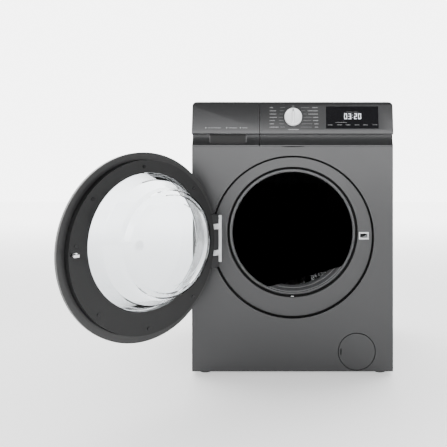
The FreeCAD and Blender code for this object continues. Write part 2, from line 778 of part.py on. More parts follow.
def display():
    """The display's glass, and the board behind it that carries the knob's encoder."""
    glass = bind(
        doc.addObject("Part::Box", "glass"),
        Length="display_width",
        Width="display_height",
        Height="window_sheet - seam",
    )
    node(
        "display_window",
        on_panel(
            glass,
            "display_x",
            "display_z",
            "-display_width / 2",
            "-display_height / 2",
            "seam - window_sheet",
        ),
    )
    board = bind(
        doc.addObject("Part::Box", "led_board"),
        Length="display_x - knob_x + display_width / 2 + 24",
        Width="display_height - 28",
        Height="board_sheet",
    )
    on_panel(board, "knob_x", "knob_z", "-20", "-display_height / 2 - 2", "-board_sink - board_sheet")
    module = bind(
        doc.addObject("Part::Box", "led_module"),
        Length="display_width - 20",
        Width="display_height - 28",
        Height="board_sink - plastic_wall - 1",
    )
    on_panel(
        module, "display_x", "display_z", "10 - display_width / 2", "10 - display_height / 2", "-board_sink"
    )
    encoder = bind(
        doc.addObject("Part::Box", "encoder"),
        Length="26",
        Width="26",
        Height="board_sink - plastic_wall - 1",
    )
    on_panel(encoder, "knob_x", "knob_z", "-13", "-13", "-board_sink")
    bore = bind(
        doc.addObject("Part::Cylinder", "encoder_bore"), Radius="encoder_shaft + running", Height="60"
    )
    on_panel(bore, "knob_x", "knob_z", out="-50")
    node("control_board", cut("board", fuse("board_joined", board, module, encoder), bore))


def drawer():
    """The dispenser drawer: its moulded front and tray, and the housing it runs in."""
    back = "front + handle_depth + handle_back"
    outer = fascia_outside() + [
        ("fascia_back", "cabinet_height - 2 * plastic_wall"),
        (back, "cabinet_height - 3 * plastic_wall"),
        (back, "fascia_floor + seam"),
    ]
    block = padded("drawer_block", "YZ_Plane", outer, "-half_width", "drawer_width - gap")
    grip_x = ("drawer_right - 40 - handle_width", "drawer_right - 40")
    recess = rounded(
        "grip_recess",
        grip_x,
        ("front - 10", "front + handle_depth"),
        ("strip_top - 6 - handle_height", "strip_top - 6"),
        "handle_height * 0.4",
        along_y_edges,
    )
    hook_space = rounded(
        "grip_hollow",
        grip_x,
        ("front - panel_proud + handle_lip", "front + handle_depth"),
        ("strip_top - 6 - handle_height * 0.6", "strip_top + handle_rise"),
        "handle_height * 0.25",
        along_y_edges,
    )
    hollowed = cut("drawer_cut", block, recess, hook_space)
    node("drawer_front", common("drawer_panel", hollowed, front_outline()))

    wall = "box_wall"
    x = ("-half_width + 12", "drawer_right - 8")
    z = ("dispenser_floor + box_wall + 2", "dispenser_floor + box_wall + 2 + drawer_height")
    y = (f"{back} + seam", f"{back} + seam + drawer_depth")
    bins = []
    bin_width = f"((({x[1]}) - ({x[0]}) - 4 * {wall}) / 3)"
    for i in range(3):
        left = f"({x[0]}) + {wall} + {i} * ({bin_width} + {wall})"
        bins.append(
            box(
                f"bin_{i}",
                (left, f"{left} + {bin_width}"),
                (f"{y[0]} + 8", f"{y[1]} - {wall}"),
                (f"{z[0]} + {wall}", f"{z[1]} + 1"),
            )
        )
    node("drawer_tray", cut("tray", box("tray_block", x, y, z), *bins))

    shell_x = ("-half_width + 8", "drawer_right - 4")
    shell_y = ("front + worktop_setback + 2", f"{y[1]} + 6")
    shell_z = ("dispenser_floor", "worktop_floor - 2")
    inside = box(
        "housing_space",
        (f"{shell_x[0]} + {wall}", f"{shell_x[1]} - {wall}"),
        (f"{shell_y[0]} - 1", f"{shell_y[1]} - {wall}"),
        (f"{shell_z[0]} + {wall}", f"{shell_z[1]} - {wall}"),
    )
    node("dispenser_housing", cut("housing", box("housing_block", shell_x, shell_y, shell_z), inside))


# ---- door ----


def door_ring():
    """The outer ring of the door with the ear that hides the hinge."""
    wall = "plastic_wall + 1"
    section = [
        ("rim_back", "door_radius"),
        ("rim_back - 9", "door_radius"),
        ("ring_front + 7", "door_radius - 9"),
        ("ring_front", "door_radius - 27"),
        ("ring_front + 2", "window_radius + seam"),
        (f"ring_front + 2 + {wall}", "window_radius + seam"),
        (f"ring_front + {wall}", "door_radius - 29"),
        (f"ring_front + 7 + {wall}", f"door_radius - 9 - {wall}"),
        ("rim_back - 9", f"door_radius - {wall}"),
        (f"rim_back - {wall}", f"door_radius - {wall}"),
        (f"rim_back - {wall}", "door_step + 1"),
        ("rim_back", "door_step + 1"),
    ]
    turned = spun("door_turned", section, z="recess_height")
    ear_z = ("ear_centre - ear_height / 2 + 5", "ear_centre + ear_height / 2 - 5")
    plate = rounded(
        "ear_plate",
        ("9 - ear_reach", "20 - door_radius"),
        ("ring_front + 4", f"ring_front + 4 + {wall}"),
        ear_z,
        10,
        along_y_edges,
    )
    pocket = box(
        "ear_pocket",
        ("-ear_reach", "24 - door_radius"),
        (f"ring_front + 4 + {wall}", "rim_back + 1"),
        (f"{ear_z[0]} - 1", f"{ear_z[1]} + 1"),
    )
    return on_door("door_outer_ring", cut("door_ring", fuse("ring_and_ear", turned, plate), pocket))


def door_window():
    """The clear outer window, slightly domed."""
    sheet_y = "plastic_wall"
    section = [
        ("ring_front - 5", "0"),
        ("ring_front - 3.6", "window_radius * 0.5"),
        ("ring_front + 1", "window_radius"),
        (f"ring_front + 1 + {sheet_y}", "window_radius"),
        (f"ring_front - 3.6 + {sheet_y}", "window_radius * 0.5"),
        (f"ring_front - 5 + {sheet_y}", "0"),
    ]
    return on_door("door_window", spun("window_turned", section, z="recess_height"))


def door_inner_frame():
    """The raised inner face of the door, with the hole that shows the bowl and the hook's slot."""
    wall = "plastic_wall"
    top = ("inner_face - plastic_wall", "inner_face")
    face = rod_y("inner_plate", "0", "recess_height", top, "door_step")
    skirt = ring(
        "inner_skirt", "y", (
            "0", "rim_back - 12", "recess_height"
        ), "door_step", f"door_step - {wall}", "12 + door_step_height"
    )
    collar = rod_y("glass_collar", "0", "axis_height", ("rim_back", "inner_face"), f"glass_radius + {wall}")
    hole = rod_y("glass_hole", "0", "axis_height", ("rim_back - 30", "inner_face + 1"), "glass_radius")
    slot = box(
        "hook_slot",
        ("hook_x - 12", "hook_x + 6"),
        ("rim_back", "inner_face + 1"),
        ("hook_z - hook_height / 2 - gap", "hook_z + hook_height / 2 + gap"),
    )
    holes = []
    for i, (x, z) in enumerate(door_screw_places()):
        holes.append(rod_y(f"door_hole_{i}", x, z, ("rim_back", "inner_face + 1"), "screw_head / 2 + seam"))
    cheeks = []
    for i, side in enumerate((-1, 1)):
        z = f"hook_z + {side} * (hook_height / 2 + gap + 3)"
        cheeks.append(
            box(
                f"hook_cheek_{i}",
                ("hook_x - 11", "hook_x + 1"),
                ("rim_back + 2", "inner_face - 1"),
                (f"{z} - 3", f"{z} + 3"),
            )
        )
    pivot = rod(
        "hook_pivot", "z", ("hook_x - 6", "rim_back + 7", "hook_z - 30"), "latch_pin + running", "60"
    )
    pan = fuse("inner_pan", face, skirt, collar, *cheeks)
    return on_door("door_inner_frame", cut("inner_frame", pan, hole, slot, pivot, *holes))


DOOR_SCREW_ANGLES = (6, 38, 84, 134, 227, 272, 316)


def door_screw_places():
    """The screws on the door's inner face, across and up, on a circle round the door's centre."""
    reach = "(door_step - 16)"
    return [
        (f"{reach} * cos({angle})", f"recess_height + {reach} * sin({angle})") for angle in DOOR_SCREW_ANGLES
    ]


def door_screws():
    """The screws that hold the inner frame."""
    screws = []
    for i, (x, z) in enumerate(door_screw_places()):
        head = rod_y(
            f"door_screw_head_{i}", x, z, ("inner_face + 0.05", "inner_face + screw_rise"), "screw_head"
        )
        shank = rod_y(f"door_screw_{i}", x, z, ("inner_face - 12", "inner_face + 1"), "screw_head / 2")
        screws.append(fuse(f"door_screw_whole_{i}", head, shank))
    return on_door("door_screws", group("screws_of_door", *screws))


def glass_bowl():
    """The deep clear bowl that reaches into the porthole."""
    outer = [
        ("bowl_seat", "glass_radius + 8"),
        ("bowl_seat", "glass_radius - 1"),
        ("bowl_seat + bowl_depth * 0.42", "glass_radius * 0.78 + bowl_end_radius * 0.22 - 8"),
        ("bowl_end - 22", "bowl_end_radius + 5"),
        ("bowl_end - 9", "bowl_end_radius"),
        ("bowl_end - 2", "bowl_end_radius - 12"),
        ("bowl_end", "bowl_end_radius - 30"),
        ("bowl_end", "0"),
    ]
    inner = [
        ("bowl_end - glass_wall", "0"),
        ("bowl_end - glass_wall", "bowl_end_radius - 31"),
        ("bowl_end - 2 - glass_wall", "bowl_end_radius - 15"),
        ("bowl_end - 11 - glass_wall / 2", "bowl_end_radius - glass_wall"),
        ("bowl_end - 23", "bowl_end_radius + 5 - glass_wall"),
        ("bowl_seat + bowl_depth * 0.42", "glass_radius * 0.78 + bowl_end_radius * 0.22 - 8 - glass_wall"),
        ("bowl_seat - glass_wall", "glass_radius - 1 - glass_wall"),
        ("bowl_seat - glass_wall", "glass_radius + 8"),
    ]
    return on_door("door_glass_bowl", spun("bowl_turned", outer + inner))


def hinge():
    """The bracket on the cabinet, its screws, the door's hinge block and the pin."""
    levels = ("ear_centre + 3 + knuckle_pitch / 2", "ear_centre + 3 - knuckle_pitch / 2")
    plate = box(
        "bracket_block",
        ("hinge_x + 3", "hinge_x + 3 + bracket_width"),
        ("bracket_face", "bracket_face + bracket_plate"),
        ("ear_centre + 3 - bracket_height / 2", "ear_centre + 3 + bracket_height / 2"),
    )
    arms = [plate]
    bores = []
    for i, level in enumerate(levels):
        z = (f"{level} - knuckle_height / 2", f"{level} + knuckle_height / 2")
        half = "arm_thickness / 2"
        arms.append(rod(f"knuckle_{i}", "z", ("hinge_x", "hinge_y", z[0]), "knuckle", "knuckle_height"))
        arms.append(
            box(
                f"arm_across_{i}",
                ("hinge_x", f"hinge_x + arm_offset + {half}"),
                (f"hinge_y - {half}", f"hinge_y + {half}"),
                z,
            )
        )
        arms.append(
            box(
                f"arm_back_{i}",
                (f"hinge_x + arm_offset - {half}", f"hinge_x + arm_offset + {half}"),
                (f"hinge_y - {half}", "bracket_face + 1"),
                z,
            )
        )
        bores.append(
            rod(
                f"knuckle_bore_{i}",
                "z",
                ("hinge_x", "hinge_y", f"{z[0]} - 1"),
                "hinge_pin + running",
                "knuckle_height + 2",
            )
        )
    holes = []
    screws = []
    for i, side in enumerate((-1, 1)):
        x = "hinge_x + 3 + bracket_width / 2"
        z = f"ear_centre + 3 + {side} * (bracket_height / 2 - 9)"
        holes.append(
            rod_y(f"bracket_hole_{i}", x, z, ("bracket_face - 1", "recess_floor"), "screw_head / 2 + seam")
        )
        head = rod_y(
            f"bracket_head_{i}", x, z, ("bracket_face - screw_rise", "bracket_face - 0.05"), "screw_head"
        )
        shank = rod_y(
            f"bracket_shank_{i}", x, z, (
                "bracket_face - 1", "recess_floor - sheet - seam"
            ), "screw_head / 2"
        )
        screws.append(fuse(f"bracket_screw_{i}", head, shank))
    node("hinge_bracket", cut("bracket", fuse("bracket_arms", *arms), *bores, *holes))
    CABINET_SCREWS.extend(screws)

    ear_z = ("ear_centre - ear_height / 2 + 7", "ear_centre + ear_height / 2 - 7")
    block = box(
        "block_whole",
        ("9 - ear_reach", "hinge_x + knuckle + 4"),
        ("ring_front + 8 + plastic_wall + seam", "hinge_y + 13"),
        ear_z,
    )
    slots = []
    for i, level in enumerate(levels):
        slots.append(
            box(
                f"block_slot_{i}",
                ("-ear_reach", "0"),
                ("front - 60", "front"),
                (f"{level} - knuckle_height / 2 - 1", f"{level} + knuckle_height / 2 + 1"),
            )
        )
    pin_hole = rod(
        "block_pin_hole", "z", ("hinge_x", "hinge_y", "0"), "hinge_pin + seam / 4", "cabinet_height"
    )
    on_door("door_hinge_block", cut("hinge_block", block, *slots, pin_hole))
    pin = rod(
        "pin_bar", "z", (
            "hinge_x", "hinge_y", f"{ear_z[0]} + 2"
        ), "hinge_pin", f"({ear_z[1]}) - ({ear_z[0]}) - 4"
    )
    on_door("hinge_pin", group("pin_of_hinge", pin))


def latch():
    """The sprung hook in the door, and the lock in the cabinet."""
    z = ("hook_z - hook_height / 2", "hook_z + hook_height / 2")
    pin_x = "hook_x - 6"
    pin_y = "rim_back + 7"
    end = "inner_face + hook_reach"
    knuckle = rod("hook_knuckle", "z", (pin_x, pin_y, z[0]), "latch_pin + 2.5", "hook_height")
    stem = box("hook_stem", ("hook_x - 3", "hook_x + 3"), (f"{pin_y} - 3", end), z)
    nose = box("hook_nose", ("hook_x - 3", "hook_x + 9"), (f"{end} - 6", end), z)
    trunnion = rod("hook_trunnion", "z", (pin_x, pin_y, f"{z[0]} - 7"), "latch_pin", "hook_height + 14")
    on_door("latch_hook", fuse("hook", knuckle, stem, nose, trunnion))

    plate = box(
        "lock_plate",
        ("hook_x - 11.5", "hook_x + 18"),
        ("recess_floor - sheet - seam - 1.5", "recess_floor - sheet - seam"),
        ("hook_z - 11", "hook_z + 11"),
    )
    case = box(
        "lock_case",
        ("hook_x - 11.5", "hook_x + 28"),
        ("recess_floor + seam", "recess_floor + 34"),
        ("hook_z - 32", "hook_z + 32"),
    )
    space = box(
        "lock_space", ("hook_x - 9.5", "hook_x + 16"), (
            "recess_floor + 3", "recess_floor + 24"
        ), ("hook_z - 7", "hook_z + 7")
    )
    neck = box(
        "lock_neck",
        ("hook_x - 9 + seam", "hook_x + 15 - seam"),
        ("recess_floor - sheet - 1", "recess_floor + 1"),
        ("hook_z - 7 + seam", "hook_z + 7 - seam"),
    )
    throat = box(
        "lock_throat", (
            "hook_x - 8", "hook_x + 14"
        ), ("front", "recess_floor + 4"), ("hook_z - 6", "hook_z + 6")
    )
    node("door_lock", cut("lock", fuse("lock_joined", case, neck, plate), space, throat))


# ---- door seal, tub and drum ----


def door_seal():
    """The rubber seal from the porthole's collar to the tub's mouth."""
    wall = "seal_wall"
    bead = "porthole_radius - 0.3"
    mouth = "tub_face - neck_length"
    lip = "recess_floor + 54"
    section = [
        ("recess_floor + 4", f"{bead} - 5"),
        ("recess_floor + 18", "lip_radius + 19"),
        ("recess_floor + 40", "lip_radius + 7"),
        (f"{lip} - 1", "lip_radius"),
        (f"{lip} + 5", "lip_radius + 1"),
        (f"{mouth} - 4", "neck_radius - 9"),
        (f"{mouth} - 0.6", "neck_radius - 3"),
        (f"{mouth} - 0.6", "neck_radius + 0.3"),
        (f"{mouth} + 12", "neck_radius + 0.3"),
        (f"{mouth} + 12", f"neck_radius + 0.3 + {wall}"),
        (f"{mouth} - 5", f"neck_radius + 0.3 + {wall}"),
        (f"{mouth} - 9", "neck_radius - 8"),
        (f"{lip}", "lip_radius + 7"),
        ("recess_floor + 42", "lip_radius + 13"),
        ("recess_floor + 17", bead),
        ("recess_floor + 4", bead),
    ]
    node("door_seal", spun("seal_turned", section))


def tub():
    """The two halves of the tub with their lugs and the motor's saddle."""
    flange = "tub_flange_width"
    inner = "tub_radius - tub_wall"
    front_section = [
        ("tub_face - neck_length", "neck_radius - tub_wall"),
        ("tub_face - neck_length", "neck_radius"),
        ("tub_face", "neck_radius"),
        ("tub_face", "tub_radius"),
        (f"tub_joint - {flange}", "tub_radius"),
        (f"tub_joint - {flange}", "tub_flange"),
        ("tub_joint", "tub_flange"),
        ("tub_joint", inner),
        ("tub_face + tub_wall", inner),
        ("tub_face + tub_wall", "neck_radius - tub_wall"),
    ]
    shell = spun("tub_front_turned", front_section)
    half = "lug_size / 2"
    pieces = [shell]
    for side in (-1, 1):
        x = f"{side} * damper_x"
        pieces.append(
            box(
                f"damper_lug_{side}",
                (f"{x} - {half}", f"{x} + {half}"),
                (f"damper_y - {half}", f"damper_y + {half}"),
                ("damper_lug", "damper_lug + 3 * lug_size"),
            )
        )
    pieces.append(
        rod("sump_spigot", "z", ("flap_x", "sump_y", "damper_lug - 40"), "hose_radius + hose_wall", "90")
    )
    space = rod_y("tub_front_space", "0", "axis_height", ("tub_face + tub_wall", "tub_joint + 1"), inner)
    drain = rod("sump_bore", "z", ("flap_x", "sump_y", "damper_lug - 45"), "hose_radius", "110")
    node("tub_front_half", cut("tub_front_cut", fuse("tub_front_joined", *pieces), space, drain))

    start = "tub_joint + seam"
    rear_section = [
        (start, inner),
        (start, "tub_flange"),
        (f"{start} + {flange}", "tub_flange"),
        (f"{start} + {flange}", "tub_radius"),
        ("tub_end", "tub_radius"),
        ("tub_end", "housing_radius + seam"),
        ("tub_end - tub_wall - 1", "housing_radius + seam"),
        ("tub_end - tub_wall - 1", inner),
    ]
    pieces = [spun("tub_rear_turned", rear_section)]
    for side in (-1, 1):
        x = f"{side} * spring_x"
        pieces.append(
            box(
                f"spring_lug_{side}",
                (f"{x} - {half}", f"{x} + {half}"),
                (f"spring_y - {half}", f"spring_y + {half}"),
                ("spring_lug - 3 * lug_size", "spring_lug"),
            )
        )
    space = rod_y("tub_rear_space", "0", "axis_height", ("tub_joint - 1", "tub_end - tub_wall - 1"), inner)
    pieces.append(
        box(
            "motor_saddle",
            ("motor_x - motor_radius", "motor_x + motor_radius"),
            ("motor_y + 20", "tub_end"),
            ("motor_z", "motor_z + motor_radius + 50"),
        )
    )
    motor_curve = rod_y(
        "saddle_bore", "motor_x", "motor_z", ("motor_y", "tub_end + 1"), "motor_radius + seam"
    )
    slot = box(
        "heater_slot",
        ("-36", "36"),
        ("tub_end - 10", "tub_end + 1"),
        (HEATER_LEVEL + " - 7", HEATER_LEVEL + " + 7"),
    )
    node("tub_rear_half", cut("tub_rear_cut", fuse("tub_rear_joined", *pieces), space, slot, motor_curve))


HEATER_LEVEL = "axis_height - tub_radius + tub_wall + 11"


def counterweights():
    """Two concrete weights, a half ring on the front of the tub and a block on its top."""
    half = ring(
        "front_weight_ring", "y", (
            "0", "tub_face - 46", "axis_height"
        ), "tub_radius - 7", "neck_radius + 10", "45"
    )
    lower = box(
        "front_weight_lower", ("-half_width", "half_width"), ("front", "0"), ("0", "axis_height - 30")
    )
    front_weight = common("front_weight", half, lower)
    block = box(
        "top_weight_block", ("-40", "190"), ("-150", "20"), ("axis_height + 216", "axis_height + 330")
    )
    curve = rod_y("top_weight_curve", "0", "axis_height", ("-160", "30"), "tub_radius + 1")
    node("counterweights", group("weights", front_weight, cut("top_weight", block, curve)))


def drum():
    """The drum's shell, mouth ring, starred back, lifters and hub cap."""
    outer = "drum_radius"
    inner = "drum_radius - drum_sheet"
    node(
        "drum_shell",
        ring(
            "shell_tube",
            "y",
            ("0", "drum_face + drum_sheet + seam", "axis_height"),
            outer,
            inner,
            "drum_end - drum_face - drum_sheet - 2 * seam",
        ),
    )
    mouth = [
        ("drum_face", "drum_mouth"),
        ("drum_face", outer),
        ("drum_face + drum_sheet", outer),
        ("drum_face + drum_sheet", "drum_mouth + drum_sheet"),
        ("drum_face + 12", "drum_mouth + drum_sheet"),
        ("drum_face + 12", "drum_mouth"),
    ]
    node("drum_mouth_ring", spun("mouth_turned", mouth))

    star_face = "drum_end - star_depth"
    disc = rod_y("back_disc", "0", "axis_height", ("drum_end", "drum_end + drum_sheet"), outer)
    raised = rod_y(
        "star_outside", "0", "axis_height", (star_face, "drum_end + drum_sheet / 2"), f"{inner} - 2"
    )
    hollow = rod_y(
        "star_inside", "0", "axis_height", (
            f"{star_face} + drum_sheet", "drum_end + 2 * drum_sheet"
        ), f"{inner} - 3"
    )
    outside_rounds = []
    inside_rounds = []
    for i, angle in enumerate((90, 210, 330)):
        x = f"star_pitch * cos({angle})"
        z = f"axis_height + star_pitch * sin({angle})"
        outside_rounds.append(
            rod_y(f"star_round_{i}", x, z, (f"{star_face} - 1", "drum_end"), "star_round")
        )
        inside_rounds.append(
            rod_y(
                f"star_inner_round_{i}",
                x,
                z,
                (star_face, "drum_end + 2 * drum_sheet"),
                "star_round + drum_sheet",
            )
        )
    star = cut("star_raised", raised, *outside_rounds)
    space = cut("star_space", hollow, *inside_rounds)
    node("drum_back", cut("back", fuse("back_joined", disc, star), space))

    cap = [
        (f"{star_face} - seam", "0"),
        (f"{star_face} - seam", "hub_radius"),
        (f"{star_face} - hub_depth * 0.35", "hub_radius - 2"),
        (f"{star_face} - hub_depth * 0.75", "hub_radius * 0.72"),
        (f"{star_face} - hub_depth", "hub_radius * 0.4"),
        (f"{star_face} - hub_depth - 1", "0"),
    ]
    node("hub_cap", spun("cap_turned", cap))

    lifters = []
    for i, turn in enumerate((0, 120, 240)):
        foot = "(drum_radius - drum_sheet - 3)"
        crest = f"({foot} - lifter_height)"
        section = [
            ("-lifter_foot / 2", f"-{foot}"),
            ("lifter_foot / 2", f"-{foot}"),
            ("lifter_crest / 2 + 4", f"-{crest} - 12"),
            ("lifter_crest / 2", f"-{crest}"),
            ("-lifter_crest / 2", f"-{crest}"),
            ("-lifter_crest / 2 - 4", f"-{crest} - 12"),
        ]
        lifter = padded(f"lifter_{i}", "XZ_Plane", section, "0", "lifter_length")
        put(lifter, "0", "drum_face + 16 + lifter_length", "axis_height", (0, 1, 0, turn))
        lifters.append(lifter)
    node("drum_lifters", group("lifters", *lifters))


def spider_and_shaft():
    """The three-armed spider behind the drum, the shaft, its bearings and their housing."""
    pieces = [
        rod_y(
            "spider_boss",
            "0",
            "axis_height",
            ("spider_face", "spider_face + spider_depth + 5"),
            "spider_hub",
        )
    ]
    for i, turn in enumerate((0, 120, 240)):
        arm = bind(
            doc.addObject("Part::Box", f"spider_arm_{i}"),
            Length="spider_arm",
            Width="spider_depth",
            Height="drum_radius - 14",
        )
        angle = 180 + turn
        arm.setExpression(
            "Placement",
            f"placement(vector(0; {formula('spider_face')}; {formula('axis_height')}); "
            f"rotation(vector(0; 1; 0); {angle})) * "
            f"placement(vector(-{formula('spider_arm')} / 2; 0; 0); rotation(vector(0; 0; 1); 0))",
        )
        pieces.append(arm)
    bore = rod_y("spider_bore", "0", "axis_height", ("drum_end", "tub_end"), "shaft_radius + seam / 4")
    node("drum_spider", cut("spider", fuse("spider_joined", *pieces), bore))

    shaft = [
        ("spider_face + 1", "0"),
        ("spider_face + 1", "shaft_radius"),
        ("rear_bearing_y - bearing_space / 2", "shaft_radius"),
        ("rear_bearing_y - bearing_space / 2", "shaft_tail"),
        ("pulley_y + pulley_width", "shaft_tail"),
        ("pulley_y + pulley_width", "4.1"),
        ("pulley_y - 4", "4.1"),
        ("pulley_y - 4", "0"),
    ]
    node("drum_shaft", spun("shaft_turned", shaft))

    def bearing(label, y, outer, bore_radius, width):
        return ring(label, "y", ("0", y, "axis_height"), outer, f"{bore_radius} + running", width)

    pair = [
        bearing(
            "front_bearing",
            "front_bearing_y",
            "front_bearing_radius",
            "shaft_radius",
            "front_bearing_width",
        ),
        bearing(
            "rear_bearing", "rear_bearing_y", "rear_bearing_radius", "shaft_tail", "rear_bearing_width"
        ),
    ]
    node("drum_bearings", group("bearings", *pair))
    fit = "seam / 4"
    housing = [
        ("tub_end - tub_wall", f"front_bearing_radius + {fit}"),
        ("tub_end - tub_wall", "housing_radius"),
        ("housing_end", "housing_radius"),
        ("housing_end", f"rear_bearing_radius + {fit}"),
        ("rear_bearing_y - seam", f"rear_bearing_radius + {fit}"),
        ("rear_bearing_y - seam", "shaft_radius + 5"),
        ("rear_bearing_y - bearing_space + seam", "shaft_radius + 5"),
        ("rear_bearing_y - bearing_space + seam", f"front_bearing_radius + {fit}"),
    ]
    node("bearing_housing", spun("housing_turned", housing))


def drive():
    """The drum pulley, the belt, and the motor with its rotor."""
    y = ("pulley_y", "pulley_y + pulley_width")
    rim = ring(
        "pulley_rim", "y", ("0", y[0], "axis_height"), "pulley_radius", "pulley_radius - 9", "pulley_width"
    )
    web = rod_y("pulley_web", "0", "axis_height", (f"{y[0]} + 4", f"{y[1]} - 4"), "pulley_radius - 5")
    hub = rod_y("pulley_hub", "0", "axis_height", y, "spider_hub - 12")
    bore = rod_y("pulley_bore", "0", "axis_height", (f"{y[0]} - 1", f"{y[1]} + 1"), "shaft_tail + seam / 4")
    holes = []
    for i in range(5):
        angle = 90 + 72 * i
        holes.append(
            rod_y(
                f"pulley_hole_{i}",
                f"pulley_radius * 0.56 * cos({angle})",
                f"axis_height + pulley_radius * 0.56 * sin({angle})",
                (f"{y[0]} - 1", f"{y[1]} + 1"),
                "pulley_radius * 0.25",
            )
        )
    node("drum_pulley", cut("pulley", fuse("pulley_joined", rim, web, hub), bore, *holes))
    node("drive_belt", belt())

    centre = ("motor_x", "motor_z")
    body = rod_y("motor_body", *centre, ("motor_y", "motor_y + motor_length"), "motor_radius")
    motor_bore = rod_y(
        "motor_bore",
        *centre,
        ("motor_y + motor_length - 60", "motor_y + motor_length + 1"),
        "motor_shaft + running",
    )
    node("drive_motor", cut("motor", body, motor_bore))
    rotor = rod_y("rotor_bar", *centre, ("motor_y + motor_length - 58", f"{y[1]}"), "motor_shaft")
    pinion = rod_y("pinion", *centre, (y[0], y[1]), "motor_pulley")
    node("motor_rotor", fuse("rotor", rotor, pinion))


def belt():
    """The flat belt round the two pulleys: two arcs and two tangents, given a thickness."""
    drum_at = FreeCAD.Vector(0, 0, number("axis_height"))
    motor_at = FreeCAD.Vector(number("motor_x"), 0, number("motor_z"))
    apart = motor_at - drum_at

    def loop(grow):
        big = number("pulley_radius + gap") + grow
        small = number("motor_pulley + gap") + grow
        along = FreeCAD.Vector(apart).normalize()
        aside = along.cross(FreeCAD.Vector(0, 1, 0))
        lean = (big - small) / apart.Length
        rise = (1 - lean * lean) ** 0.5
        ways = [along * lean + aside * rise, along * lean - aside * rise]
        drum_ends = [drum_at + way * big for way in ways]
        motor_ends = [motor_at + way * small for way in ways]
        return Part.Wire(
            [
                Part.Arc(drum_ends[1], drum_at - along * big, drum_ends[0]).toShape(),
                Part.LineSegment(drum_ends[0], motor_ends[0]).toShape(),
                Part.Arc(motor_ends[0], motor_at + along * small, motor_ends[1]).toShape(),
                Part.LineSegment(motor_ends[1], drum_ends[1]).toShape(),
            ]
        )

    width = FreeCAD.Vector(0, number("pulley_width - 2"), 0)
    outer = Part.Face(loop(number("belt_thickness"))).extrude(width)
    inner = Part.Face(loop(0)).extrude(width)
    band = doc.addObject("Part::Feature", "belt_band")
    band.Shape = outer.cut(inner)
    band.Placement = FreeCAD.Placement(FreeCAD.Vector(0, number("pulley_y + 1"), 0), FreeCAD.Rotation())
    return band


def heater():
    """The heating element under the drum, with its plate and temperature sensor."""
    radius = "4"
    spread = 28
    front_end = "tub_end - 150"
    legs = []
    for side in (-1, 1):
        legs.append(
            rod_y(f"heater_leg_{side}", f"{side * spread}", HEATER_LEVEL, (front_end, "tub_end + 12"), radius)
        )
    bend = bind(
        doc.addObject("Part::Torus", "heater_bend"), Radius1=f"{spread}", Radius2=radius, Angle3="180"
    )
    put(bend, "0", front_end, HEATER_LEVEL, (0, 0, 1, 180))
    plate = box(
        "heater_plate",
        ("-42", "42"),
        ("tub_end + seam", "tub_end + 3"),
        (f"{HEATER_LEVEL} - 11", f"{HEATER_LEVEL} + 11"),
    )
    sensor = rod_y("sensor", "0", HEATER_LEVEL, ("tub_end - 40", "tub_end + 15"), "4")
    node("heating_element", fuse("heater_joined", *legs, bend, plate, sensor))


def suspension():
    """Two springs from the top rails, and two dampers from the base."""

    def spring(side, sign):
        at = (f"{sign}spring_x", "spring_y", "spring_lug")
        return ring(
            f"spring_{side}",
            "z",
            at,
            "spring_radius",
            "spring_radius - spring_wire",
            "rail_floor - spring_lug",
        )

    node("suspension_springs", group("springs", *mirrored_pairs(spring)))

    def cylinder(side, sign):
        floor = "foot_gap + plastic_wall"
        at = (f"{sign}damper_x", "damper_y", floor)
        tube = rod(f"damper_tube_{side}", "z", at, "damper_radius", f"damper_top - ({floor})")
        bore_at = (f"{sign}damper_x", "damper_y", f"{floor} + 12")
        bore = rod(
            f"damper_bore_{side}", "z", bore_at, "damper_radius - 2", f"damper_top - 3 - ({floor} + 12)"
        )
        mouth_at = (f"{sign}damper_x", "damper_y", "damper_top - 10")
        mouth = rod(f"damper_mouth_{side}", "z", mouth_at, "damper_rod + gap", "20")
        return cut(f"damper_cylinder_{side}", tube, bore, mouth)

    node("damper_cylinders", group("dampers", *mirrored_pairs(cylinder)))

    def damper_rod_of(side, sign):
        at = (f"{sign}damper_x", "damper_y", "damper_top - 60")
        bar = rod(f"damper_bar_{side}", "z", at, "damper_rod", "damper_lug - damper_top + 60 - seam")
        piston = rod(f"damper_piston_{side}", "z", at, "damper_radius - 2 - gap", "14")
        return fuse(f"damper_rod_{side}", bar, piston)

    node("damper_rods", group("rods_of_dampers", *mirrored_pairs(damper_rod_of)))


# ---- pump, filter and services ----


def filter_door():
    """The round filter cover that pulls out, and the sleeve that holds it."""
    cover_r = "flap_radius - flap_clearance"
    disc = rod_y("flap_disc", "flap_x", "flap_z", ("front", "front + flap_sheet"), cover_r)
    slot = box(
        "pry_slot",
        ("flap_x - flap_radius + 7", "flap_x - flap_radius + 11"),
        ("front - 1", "front + flap_sheet - 1"),
        ("flap_z - 9", "flap_z + 9"),
    )
    clip = ring(
        "flap_clip_ring",
        "y",
        ("flap_x", "front + flap_sheet - 1", "flap_z"),
        f"{cover_r} - gap",
        f"{cover_r} - gap - box_wall",
        "flap_clip",
    )
    node("filter_flap", cut("flap", fuse("flap_joined", disc, clip), slot))

    sleeve = ring(
        "frame_tube",
        "y",
        ("flap_x", "front + sheet + seam", "flap_z"),
        "flap_radius + 1.8",
        "flap_radius + 0.6",
        "20",
    )
    node("filter_frame", sleeve)


